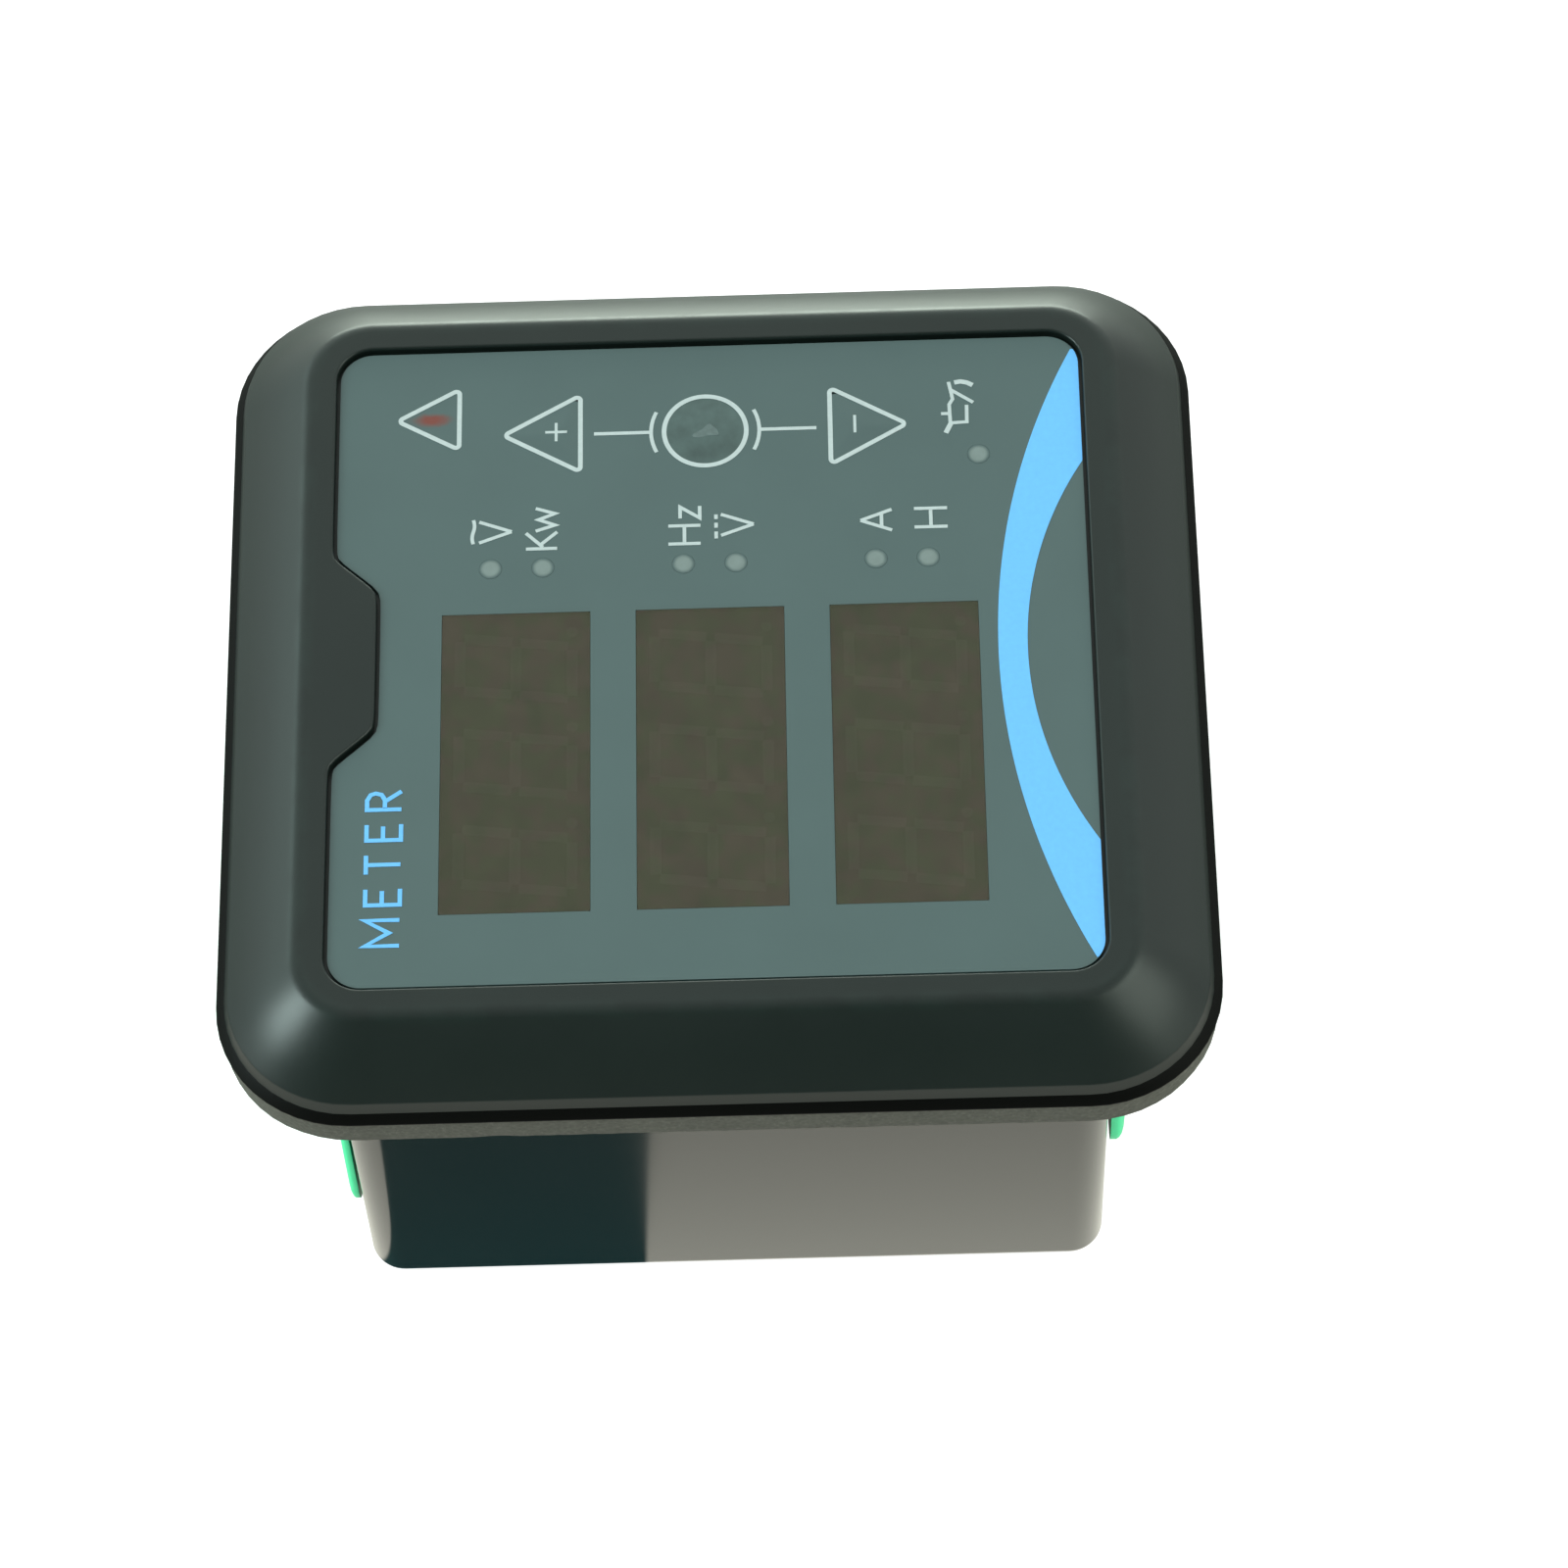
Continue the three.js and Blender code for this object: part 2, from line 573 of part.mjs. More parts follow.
add("front_bezel", frontBezel(), "bezel");
add("face_film", faceFilm(), "film");
displays();
lamps();
keys();
add("rear_case", rearCase(), "casing");
add("panel_gasket", gasket(), "foam");
screws();
add("panel_clip_top", panelClip(1, CLIP_REAR.top), "clip");
add("panel_clip_bottom", panelClip(-1, CLIP_REAR.bottom), "clip");
boards();
powerParts();
terminals();
const labelOutline = roundedBox(LABEL.halfX - 0.2, LABEL.halfY - 0.2, 0.8, 2, 0, LABEL.y);
add("terminal_label", slab(labelOutline, 0.05, LABEL.depth - 0.05), "label");

export default meter;
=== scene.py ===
"""A square digital panel meter for a generator set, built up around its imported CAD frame.

The meter lies on its back with its face up. Lengths in this file are millimetres until a mesh is
made, where they become metres. +X is the right of the face, +Y its top and +Z out of it.
"""

from __future__ import annotations

import logging
import math
from dataclasses import dataclass
from enum import Enum
from typing import Callable

import bmesh
import bpy
import numpy as np
from mathutils import Matrix, Vector


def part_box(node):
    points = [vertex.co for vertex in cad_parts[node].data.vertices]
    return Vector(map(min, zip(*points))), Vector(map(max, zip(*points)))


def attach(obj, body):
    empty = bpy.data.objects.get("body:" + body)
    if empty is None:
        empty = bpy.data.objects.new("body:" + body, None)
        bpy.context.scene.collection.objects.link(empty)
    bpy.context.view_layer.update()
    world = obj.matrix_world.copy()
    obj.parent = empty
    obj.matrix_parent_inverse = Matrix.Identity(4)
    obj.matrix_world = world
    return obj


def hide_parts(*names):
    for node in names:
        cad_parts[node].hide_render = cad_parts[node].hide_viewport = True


LOG = logging.getLogger("panel_meter")
MM = 0.001
HOUSING = "housing"
ON_AXIS = 0.001
SHARPEST_MITRE = 0.35
Array = np.ndarray
Colour = tuple[float, float, float]


# ------------------------------------------------------------------------------ solids


@dataclass
class Solid:
    """A closed surface: points in millimetres, and faces as tuples of point numbers."""

    points: Array
    faces: list[tuple[int, ...]]

    @staticmethod
    def joined(parts: list["Solid"]) -> "Solid":
        """Puts several solids into one, without merging them."""
        starts = np.cumsum([0] + [len(p.points) for p in parts])
        faces = [tuple(i + int(s) for i in f) for p, s in zip(parts, starts) for f in p.faces]
        return Solid(np.vstack([p.points for p in parts]), faces)

    def moved(self, x: float, y: float, z: float) -> "Solid":
        """The same solid somewhere else."""
        return Solid(self.points + np.array([x, y, z]), self.faces)

    def turned(self, matrix: Matrix) -> "Solid":
        """The same solid turned about the origin by a rotation matrix."""
        return Solid(self.points @ np.array(matrix.to_3x3()).T, self.faces)


def lattice(rows: int, columns: int, wrap_rows: bool, wrap_columns: bool) -> list[tuple[int, ...]]:
    """Quads over a grid of points numbered row by row.

    Args:
        rows: number of rows of points.
        columns: number of points in a row.
        wrap_rows: whether the last row joins the first.
        wrap_columns: whether the last point of a row joins its first.

    Returns:
        Faces that point outwards where rows climb and columns turn anticlockwise.
    """
    r = np.arange(rows if wrap_rows else rows - 1)[:, None]
    c = np.arange(columns if wrap_columns else columns - 1)[None, :]
    up, on = (r + 1) % rows, (c + 1) % columns
    corners = (r * columns + c, r * columns + on, up * columns + on, up * columns + c)
    quads = np.stack(np.broadcast_arrays(*corners), -1)
    return [tuple(q) for q in quads.reshape(-1, 4).tolist()]


def filleted(corners: list[tuple[float, float, float]], steps: int = 6, closed: bool = True) -> Array:
    """A line through corners, each rounded by an arc tangent to both its sides.

    Args:
        corners: x, y and radius of each corner; radius 0 keeps it sharp.
        steps: segments in each arc.
        closed: whether the last corner leads back to the first.

    Returns:
        The line's points, one row each.
    """
    xy = np.array([c[:2] for c in corners], float)
    line = []
    for i, (_, _, radius) in enumerate(corners):
        end = not closed and i in (0, len(corners) - 1)
        if radius <= 0 or end:
            line.append(xy[i : i + 1])
            continue
        back, ahead = xy[i - 1] - xy[i], xy[(i + 1) % len(xy)] - xy[i]
        back, ahead = back / np.linalg.norm(back), ahead / np.linalg.norm(ahead)
        half = math.acos(float(np.clip(back @ ahead, -1, 1))) / 2
        middle = xy[i] + (back + ahead) / np.linalg.norm(back + ahead) * radius / math.sin(half)
        first = xy[i] + back * radius / math.tan(half) - middle
        last = xy[i] + ahead * radius / math.tan(half) - middle
        turn = math.atan2(first[0] * last[1] - first[1] * last[0], float(first @ last))
        angle = math.atan2(first[1], first[0]) + np.linspace(0, turn, steps + 1)
        line.append(middle + radius * np.stack([np.cos(angle), np.sin(angle)], -1))
    return np.vstack(line)


def rounded_rectangle(
    half_x: float, half_y: float, radius: float, steps: int = 12, along: Array | None = None
) -> Array:
    """A rectangle with round corners, anticlockwise from the right of the bottom edge's end.

    Args:
        half_x: half its width.
        half_y: half its height.
        radius: corner radius.
        steps: segments in each corner.
        along: shares from 0 to 1 at which each straight side gets extra points.

    Returns:
        Its points, one row each.
    """
    quarter = np.linspace(0, math.pi / 2, steps + 1)
    centres = np.array([[1, -1], [1, 1], [-1, 1], [-1, -1]]) * [half_x - radius, half_y - radius]
    corners = [
        centre + radius * np.stack([np.cos(start + quarter), np.sin(start + quarter)], -1)
        for centre, start in zip(centres, np.array([-1, 0, 1, 2]) * math.pi / 2)
    ]
    if along is None:
        return np.vstack(corners)
    following = corners[1:] + corners[:1]
    sides = [last[-1] + (first[0] - last[-1]) * along[:, None] for last, first in zip(corners, following)]
    return np.vstack([part for pair in zip(corners, sides) for part in pair])


def offset_line(line: Array, distance: float) -> Array:
    """A closed anticlockwise line moved outwards along its own normals."""
    along = np.roll(line, -1, 0) - np.roll(line, 1, 0)
    along /= np.linalg.norm(along, axis=1, keepdims=True)
    return line + distance * np.stack([along[:, 1], -along[:, 0]], -1)


def stacked(rings: list[Array], heights: Array) -> Array:
    """Level rings of points, each at its height, as one array of points."""
    return np.vstack([np.column_stack([ring, np.full(len(ring), z)]) for ring, z in zip(rings, heights)])


def loft(rings: list[Array], heights: Array) -> Solid:
    """A solid through level rings of equal length, from the first to the last, with flat ends."""
    count = len(rings[0])
    faces = lattice(len(rings), count, False, True)
    top = (len(rings) - 1) * count
    ends = [tuple(range(count))[::-1], tuple(range(top, top + count))]
    return Solid(stacked(rings, heights), faces + ends)


def frame_sweep(rings: list[Array], heights: Array) -> Solid:
    """A closed frame: a section carried round, given as level rings in the section's order."""
    return Solid(stacked(rings, heights), lattice(len(rings), len(rings[0]), True, True))


def plate(outline: Array, low: float, high: float) -> Solid:
    """A flat plate with straight sides."""
    return loft([outline, outline], np.array([low, high]))


def block(low: tuple[float, float, float], high: tuple[float, float, float]) -> Solid:
    """A box between two corners."""
    (x0, y0, z0), (x1, y1, z1) = low, high
    return plate(np.array([[x1, y0], [x1, y1], [x0, y1], [x0, y0]]), z0, z1)


def lathe(profile: Array, sides: int = 32, x: float = 0.0, y: float = 0.0) -> Solid:
    """A profile of (radius, height), from the bottom up, turned about a vertical line.

    The first and last points may lie on the axis; a flat end closes them otherwise.
    """
    angle = np.linspace(0, 2 * math.pi, sides, endpoint=False)
    unit = np.stack([np.cos(angle), np.sin(angle)], -1)
    radii = np.maximum(profile[:, 0], ON_AXIS)
    return loft([unit * r + [x, y] for r in radii], profile[:, 1])


def ribbon(path: Array, width: float, low: float, high: float, closed: bool = False) -> Solid:
    """A printed line: a path widened to both sides, with mitred corners.

    Args:
        path: its middle line, one point a row.
        width: line width.
        low: height of the underside.
        high: height of the upper side.
        closed: whether the line returns to its start.

    Returns:
        A thin closed solid.
    """
    path = np.asarray(path, float)
    ahead = np.roll(path, -1, 0) - path
    back = path - np.roll(path, 1, 0)
    if not closed:
        ahead[-1], back[0] = back[-1], ahead[0]
    ahead /= np.linalg.norm(ahead, axis=1, keepdims=True)
    back /= np.linalg.norm(back, axis=1, keepdims=True)
    middle = ahead + back
    middle /= np.linalg.norm(middle, axis=1, keepdims=True)
    reach = width / 2 / np.maximum((middle * ahead).sum(1, keepdims=True), SHARPEST_MITRE)
    side = np.stack([-middle[:, 1], middle[:, 0]], -1) * reach
    left, right = path + side, path - side
    if closed:
        rings = [right, right, left, left] if _turns_left(path) else [left, left, right, right]
        rings = [ring if _turns_left(path) else ring[::-1] for ring in rings]
        return frame_sweep(rings, np.array([low, high, high, low]))
    return plate(np.vstack([right, left[::-1]]), low, high)


def _turns_left(path: Array) -> bool:
    """Whether a closed path runs anticlockwise."""
    after = np.roll(path, -1, 0)
    return float((path[:, 0] * after[:, 1] - path[:, 1] * after[:, 0]).sum()) > 0


def arc(x: float, y: float, radius: float, start: float, end: float, count: int = 24) -> Array:
    """Points on an arc about x, y, from one angle in degrees to another."""
    angle = np.radians(np.linspace(start, end, count))
    return np.stack([x + radius * np.cos(angle), y + radius * np.sin(angle)], -1)


def circle(x: float, y: float, radius: float, count: int = 48) -> Array:
    """Points round a circle, anticlockwise, without the first repeated."""
    return arc(x, y, radius, 0, 360, count + 1)[:-1]


# ------------------------------------------------------------------------------ pieces


def linked(name: str, data: bpy.types.ID) -> bpy.types.Object:
    """A new object in the scene."""
    made = bpy.data.objects.new(name, data)
    bpy.context.scene.collection.objects.link(made)
    return made


def mesh_object(name: str, solid: Solid) -> bpy.types.Object:
    """A Blender object of a solid, in metres, at the origin."""
    mesh = bpy.data.meshes.new(name)
    mesh.from_pydata((solid.points * MM).tolist(), [], solid.faces)
    mesh.update()
    return linked(name, mesh)


def settle(piece: bpy.types.Object) -> None:
    """Applies a piece's modifiers to its mesh."""
    depsgraph = bpy.context.evaluated_depsgraph_get()
    mesh = bpy.data.meshes.new_from_object(piece.evaluated_get(depsgraph))
    piece.modifiers.clear()
    piece.data = mesh


def carve(piece: bpy.types.Object, tools: list[Solid], operation: str = "DIFFERENCE") -> None:
    """Cuts closed solids out of a piece, or joins them to it, with the exact solver."""
    tool = mesh_object(piece.name + ".tool", Solid.joined(tools))
    modifier = piece.modifiers.new("cut", "BOOLEAN")
    modifier.operation, modifier.solver, modifier.object = operation, "EXACT", tool
    modifier.use_self = True
    settle(piece)
    bpy.data.objects.remove(tool)


def soften(piece: bpy.types.Object, width: float, segments: int = 2, angle: float = 35.0) -> None:
    """Rounds every edge that is sharper than an angle in degrees, to a width in millimetres."""
    modifier = piece.modifiers.new("edges", "BEVEL")
    modifier.width, modifier.segments = width * MM, segments
    modifier.limit_method, modifier.angle_limit = "ANGLE", math.radians(angle)
    settle(piece)


def shade(piece: bpy.types.Object, angle: float = 32.0) -> None:
    """Smooth shading, kept sharp across edges over an angle in degrees."""
    piece.data.shade_smooth()
    piece.data.set_sharp_from_angle(angle=math.radians(angle))


def dress(
    piece: bpy.types.Object,
    material: bpy.types.Material,
    body: str = HOUSING,
    replaces: tuple[str, ...] = (),
    angle: float = 32.0,
) -> bpy.types.Object:
    """Gives a piece its finish and its place in the frame, and reports it.

    Args:
        piece: the object, already in place.
        material: its finish.
        body: the CAD body that it rides on.
        replaces: CAD nodes that it stands for.
        angle: edges sharper than this stay sharp.

    Returns:
        The same piece.
    """
    shade(piece, angle)
    piece.data.materials.clear()
    piece.data.materials.append(material)
    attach(piece, body)
    if replaces:
        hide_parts(*replaces)
    LOG.info("%s rides on %s, %d faces", piece.name, body, len(piece.data.polygons))
    return piece


def copy_of_node(node: bpy.types.Object, name: str) -> bpy.types.Object:
    """A merged copy of a CAD node's mesh, with its flat faces joined up, as a new object."""
    mesh = node.data.copy()
    work = bmesh.new()
    work.from_mesh(mesh)
    bmesh.ops.remove_doubles(work, verts=work.verts, dist=0.002 * MM)
    bmesh.ops.dissolve_limit(work, angle_limit=math.radians(0.5), verts=work.verts, edges=work.edges)
    work.to_mesh(mesh)
    work.free()
    return linked(name, mesh)


# ------------------------------------------------------------------------------ shader maths


class Wire:
    """One output of a node tree, on which arithmetic adds Math nodes."""

    def __init__(self, tree: bpy.types.NodeTree, socket: bpy.types.NodeSocket) -> None:
        """Keeps the tree and the socket."""
        self.tree = tree
        self.socket = socket

    def math(self, operation: str, *values: "Wire | float") -> "Wire":
        """A Math node on this wire and further values."""
        node = self.tree.nodes.new("ShaderNodeMath")
        node.operation = operation
        for slot, value in zip(node.inputs, (self, *values)):
            if isinstance(value, Wire):
                self.tree.links.new(value.socket, slot)
            else:
                slot.default_value = value
        return Wire(self.tree, node.outputs[0])

    def _reversed(self, operation: str, value: float) -> "Wire":
        """A Math node with a plain number first and this wire second."""
        made = self.math(operation, 0.0)
        node = made.socket.node
        self.tree.links.remove(node.inputs[0].links[0])
        node.inputs[0].default_value = value
        self.tree.links.new(self.socket, node.inputs[1])
        return made

    def __add__(self, other: "Wire | float") -> "Wire":
        """Sum."""
        return self.math("ADD", other)

    __radd__ = __add__

    def __mul__(self, other: "Wire | float") -> "Wire":
        """Product."""
        return self.math("MULTIPLY", other)

    __rmul__ = __mul__

    def __sub__(self, other: "Wire | float") -> "Wire":
        """Difference."""
        return self.math("SUBTRACT", other)

    def __rsub__(self, other: float) -> "Wire":
        """Difference from a plain number."""
        return self._reversed("SUBTRACT", other)

    def __truediv__(self, other: "Wire | float") -> "Wire":
        """Quotient."""
        return self.math("DIVIDE", other)

    def __abs__(self) -> "Wire":
        """Size without sign."""
        return self.math("ABSOLUTE")

    def power(self, exponent: float) -> "Wire":
        """This wire raised to a power."""
        return self.math("POWER", exponent)

    def above(self, edge: float, blur: float) -> "Wire":
        """0 below an edge and 1 above it, with a smooth step of a given width between."""
        node = self.tree.nodes.new("ShaderNodeMapRange")
        node.interpolation_type = "SMOOTHSTEP"
        self.tree.links.new(self.socket, node.inputs["Value"])
        node.inputs["From Min"].default_value = edge - blur / 2
        node.inputs["From Max"].default_value = edge + blur / 2
        return Wire(self.tree, node.outputs["Result"])


class Workshop:
    """One material under construction: its node tree and its Principled shader."""

    def __init__(self, name: str, **fixed: float | Colour) -> None:
        """Starts a material and sets the shader's uniform values.

        Args:
            name: the material's name.
            fixed: socket names, with _ for spaces, and their values.
        """
        self.material = bpy.data.materials.new(name)
        self.material.use_nodes = True
        self.tree = self.material.node_tree
        self.shader = self.tree.nodes["Principled BSDF"]
        for key, value in fixed.items():
            socket = self.shader.inputs[key.replace("_", " ")]
            socket.default_value = (*value, 1.0) if isinstance(value, tuple) else value
        self.place = self.node("ShaderNodeTexCoord", {}, {}, "Object")

    def node(
        self,
        kind: str,
        settings: dict[str, object],
        values: dict[str | int, "Wire | float | tuple"],
        output: str | int = 0,
    ) -> Wire:
        """Any node: its settings are made first, then its sockets' values or links.

        Args:
            kind: the node's type name.
            settings: attributes of the node.
            values: socket name or number, and its value or wire.
            output: which output to return.

        Returns:
            The output as a wire.
        """
        made = self.tree.nodes.new(kind)
        for key, value in settings.items():
            setattr(made, key, value)
        for key, value in values.items():
            if isinstance(value, Wire):
                self.tree.links.new(value.socket, made.inputs[key])
            else:
                made.inputs[key].default_value = value
        return Wire(self.tree, made.outputs[output])

    def noise(self, size: float, detail: float = 2.0, distortion: float = 0.0) -> Wire:
        """Soft noise about 0.5, whose lumps are about a size in millimetres across."""
        values = {"Vector": self.place, "Scale": 1 / (size * MM), "Detail": detail, "Distortion": distortion}
        return self.node("ShaderNodeTexNoise", {}, values, "Fac")

    def cells(self, size: float) -> Wire:
        """Distance to the nearest of scattered points, about a size in millimetres apart."""
        values = {"Vector": self.place, "Scale": 1 / (size * MM)}
        return self.node("ShaderNodeTexVoronoi", {}, values, "Distance")

    def axis(self, letter: str) -> Wire:
        """One object coordinate, in millimetres."""
        return self.node("ShaderNodeSeparateXYZ", {}, {"Vector": self.place}, letter) * (1 / MM)

    def blend(self, factor: Wire, first: Colour | Wire, second: Colour | Wire) -> Wire:
        """A colour that runs from the first at 0 to the second at 1."""
        full = [v if isinstance(v, Wire) else (*v, 1.0) for v in (first, second)]
        values = {0: factor, 6: full[0], 7: full[1]}
        return self.node("ShaderNodeMix", {"data_type": "RGBA"}, values, 2)

    def tint(self, colour: Colour, factor: Wire, low: float, high: float) -> Wire:
        """A colour that is darkened or lightened between two shares of itself."""
        dark, light = (tuple(min(c * share, 1.0) for c in colour) for share in (low, high))
        return self.blend(factor, dark, light)

    def bump(self, height: Wire, depth: float) -> None:
        """Bends the normal by a height of 0 to 1, which stands for a depth in millimetres."""
        values = {"Height": height, "Distance": depth * MM, "Strength": 1.0}
        self.feed("Normal", self.node("ShaderNodeBump", {}, values, "Normal"))

    def feed(self, socket: str, wire: Wire) -> None:
        """Links a wire to one of the shader's sockets."""
        self.tree.links.new(wire.socket, self.shader.inputs[socket])

    def outline_distance(self, half_x: float, half_y: float, radius: float) -> Wire:
        """How far outside a round-cornered rectangle a point lies, in millimetres."""
        over_x = (abs(self.axis("X")) - (half_x - radius)).math("MAXIMUM", 0.0)
        over_y = (abs(self.axis("Y")) - (half_y - radius)).math("MAXIMUM", 0.0)
        return (over_x * over_x + over_y * over_y).power(0.5) - radius


# ------------------------------------------------------------------------------ finishes


@dataclass(frozen=True)
class MouldedPlastic:
    """Injection moulded plastic with a spark-eroded grain.

    Attributes:
        name: the material's name.
        colour: its linear colour.
        roughness: mean roughness.
        grain: width of a grain of the mould's texture, in millimetres.
        depth: depth of that grain.
        mottle: how much the roughness wanders.
        coat: weight of a clear, glossy skin.
        sheen: strength of the plain gloss, where 0.5 is a bare plastic's.
    """

    name: str
    colour: Colour
    roughness: float = 0.4
    grain: float = 0.12
    depth: float = 0.004
    mottle: float = 0.08
    coat: float = 0.0
    sheen: float = 0.5

    def workshop(self) -> Workshop:
        """The material, open for further work."""
        gloss = {"Coat_Weight": self.coat, "Coat_Roughness": 0.1, "Specular_IOR_Level": self.sheen}
        shop = Workshop(self.name, **gloss)
        clouds = shop.noise(14.0, 3.0)
        fine = shop.noise(self.grain, 2.0)
        least = self.roughness - self.mottle * 0.75
        shop.feed("Base Color", shop.tint(self.colour, clouds, 0.82, 1.18))
        shop.feed("Roughness", clouds * self.mottle + fine * (self.mottle / 2) + least)
        shop.bump(fine + shop.noise(self.grain * 5, 2.0) * 0.6, self.depth)
        return shop

    def material(self) -> bpy.types.Material:
        """The finished material."""
        return self.workshop().material


@dataclass(frozen=True)
class BezelPlastic(MouldedPlastic):
    """The bezel's satin plastic, a little smoother and paler in patches along its ridge."""

    opening: tuple[float, float, float] = (31.9, 32.65, 3.2)
    ridge_offset: float = 2.3

    def material(self) -> bpy.types.Material:
        """The finished material."""
        shop = self.workshop()
        outside = shop.outline_distance(*self.opening)
        ridge = 1 - (abs(outside - self.ridge_offset)).above(0.7, 0.9)
        # Patches along the ridge are drawn paler and a little smoother.
        paler_patch = ridge * shop.noise(3.0, 3.0).above(0.5, 0.35)
        clouds = shop.noise(14.0, 3.0)
        base = shop.tint(self.colour, clouds, 0.85, 1.15)
        shop.feed("Base Color", shop.blend(paler_patch * 0.5, base, tuple(c * 1.7 for c in self.colour)))
        fine = shop.noise(self.grain, 2.0) * 0.04
        shop.feed("Roughness", clouds * self.mottle + fine + (self.roughness - 0.06) - paler_patch * 0.06)
        return shop.material


@dataclass(frozen=True)
class PrintedFilm:
    """The face's printed film: a fine matt skin over an even ink."""

    name: str
    colour: Colour
    roughness: float = 0.5
    mottle: float = 0.07
    lump: float = 9.0

    def material(self) -> bpy.types.Material:
        """The finished material."""
        shop = Workshop(self.name)
        clouds = shop.noise(self.lump, 4.0)
        shop.feed("Base Color", shop.tint(self.colour, clouds, 1 - self.mottle, 1 + self.mottle))
        pebble = shop.cells(0.11)
        shop.feed("Roughness", clouds * 0.08 + (self.roughness - 0.04))
        shop.bump(pebble + clouds * 0.5, 0.0015)
        return shop.material


@dataclass(frozen=True)
class SmokedFilter:
    """A smoked window: nearly opaque and mottled, with what lies behind just showing through."""

    name: str
    colour: Colour
    alpha: float = 0.68

    def material(self) -> bpy.types.Material:
        """The finished material."""
        shop = Workshop(self.name, Alpha=self.alpha, Coat_Weight=0.15, Coat_Roughness=0.3)
        blotch = shop.noise(2.4, 4.0, 0.6)
        red, green, blue = self.colour
        brown = shop.tint((red * 1.1, green * 0.96, blue), blotch, 0.75, 1.25)
        olive = shop.tint((red * 0.92, green * 1.03, blue * 0.85), blotch, 0.75, 1.25)
        shop.feed("Base Color", shop.blend(shop.noise(1.7, 2.0).above(0.5, 0.25), brown, olive))
        shop.feed("Roughness", blotch * 0.12 + 0.38)
        shop.bump(shop.cells(0.16) + blotch, 0.002)
        return shop.material


@dataclass(frozen=True)
class Ink:
    """Screen printed ink, a little uneven at its thin places."""

    name: str
    colour: Colour
    roughness: float = 0.55

    def material(self) -> bpy.types.Material:
        """The finished material."""
        shop = Workshop(self.name)
        grain = shop.noise(0.5, 3.0)
        shop.feed("Base Color", shop.tint(self.colour, grain, 0.9, 1.08))
        shop.feed("Roughness", grain * 0.12 + (self.roughness - 0.06))
        shop.bump(shop.noise(0.09, 2.0), 0.0012)
        return shop.material


@dataclass(frozen=True)
class WarningInk:
    """A translucent red lamp mark that fades into the film round it."""

    name: str
    film: Colour
    red: Colour
    x: float
    y: float
    half_x: float
    half_y: float

    def material(self) -> bpy.types.Material:
        """The finished material."""
        shop = Workshop(self.name)
        across = (shop.axis("X") - self.x) / self.half_x
        along = (shop.axis("Y") - self.y) / self.half_y
        reach = (across * across + along * along).power(0.5) + (shop.noise(0.9, 2.0) - 0.5) * 0.5
        shop.feed("Base Color", shop.blend(1 - reach.above(0.6, 0.8), self.film, self.red))
        shop.feed("Roughness", shop.noise(0.6, 2.0) * 0.1 + 0.45)
        shop.bump(shop.cells(0.11), 0.0015)
        return shop.material


@dataclass(frozen=True)
class Foam:
    """Closed-cell gasket foam: speckled, pitted and without gloss, with painted shade in its pits."""

    name: str
    colour: Colour

    def material(self) -> bpy.types.Material:
        """The finished material."""
        shop = Workshop(self.name, Roughness=0.95)
        pit_depth_and_shade = shop.cells(0.45)
        clouds = shop.noise(3.0, 3.0)
        # Half of the colour's variation follows the pits that the bump makes, darker in them: painted shade.
        # The other half is random mottling.
        base = shop.tint(self.colour, pit_depth_and_shade * 0.5 + clouds * 0.5, 0.7, 1.3)
        speck = shop.noise(0.35, 3.0).above(0.6, 0.1)
        shop.feed("Base Color", shop.blend(speck * 0.3, base, tuple(c * 1.8 for c in self.colour)))
        shop.bump(pit_depth_and_shade + shop.noise(0.2, 2.0) * 0.4, 0.05)
        return shop.material


@dataclass(frozen=True)
class LampLens:
    """A milky lamp lens that fades into the film's colour round its rim."""

    name: str
    film: Colour
    colour: Colour
    x: float
    y: float

    def material(self) -> bpy.types.Material:
        """The finished material."""
        shop = Workshop(self.name)
        cloud = shop.noise(0.7, 2.0)
        across, along = shop.axis("X") - self.x, shop.axis("Y") - self.y
        reach = (across * across + along * along).power(0.5) + (cloud - 0.5) * 0.2
        pale = shop.tint(self.colour, cloud, 0.85, 1.1)
        shop.feed("Base Color", shop.blend(reach.above(0.76, 0.4), pale, self.film))
        shop.feed("Roughness", cloud * 0.1 + 0.4)
        shop.bump(cloud, 0.004)
        return shop.material


@dataclass(frozen=True)
class Laminate:
    """A circuit board: solder mask over faint tracks, with glass weave at the edge."""

    name: str
    mask: Colour
    track: Colour

    def material(self) -> bpy.types.Material:
        """The finished material."""
        shop = Workshop(self.name, Coat_Weight=0.4, Coat_Roughness=0.2)
        lines = [
            shop.node(
                "ShaderNodeTexWave",
                {"wave_type": "BANDS", "bands_direction": way},
                {"Vector": shop.place, "Scale": 1 / (6.0 * MM), "Distortion": 6.0, "Detail": 0.0},
                "Fac",
            )
            for way in ("X", "Y")
        ]
        choose = shop.noise(7.0, 0.0).above(0.5, 0.02)
        tracks = (lines[0] * choose + lines[1] * (1 - choose)).above(0.72, 0.06)
        shop.feed("Base Color", shop.blend(tracks, self.mask, self.track))
        shop.feed("Roughness", shop.noise(2.0, 2.0) * 0.1 + 0.35)
        shop.bump(tracks, 0.03)
        return shop.material


@dataclass(frozen=True)
class Metal:
    """Plated metal with fine turning or rolling marks."""

    name: str
    colour: Colour
    roughness: float = 0.32

    def material(self) -> bpy.types.Material:
        """The finished material."""
        shop = Workshop(self.name, Metallic=1.0)
        dull = shop.noise(0.8, 4.0)
        shop.feed("Base Color", shop.tint(self.colour, dull, 0.75, 1.1))
        shop.feed("Roughness", dull * 0.25 + (self.roughness - 0.12))
        shop.bump(shop.noise(0.12, 2.0), 0.004)
        return shop.material


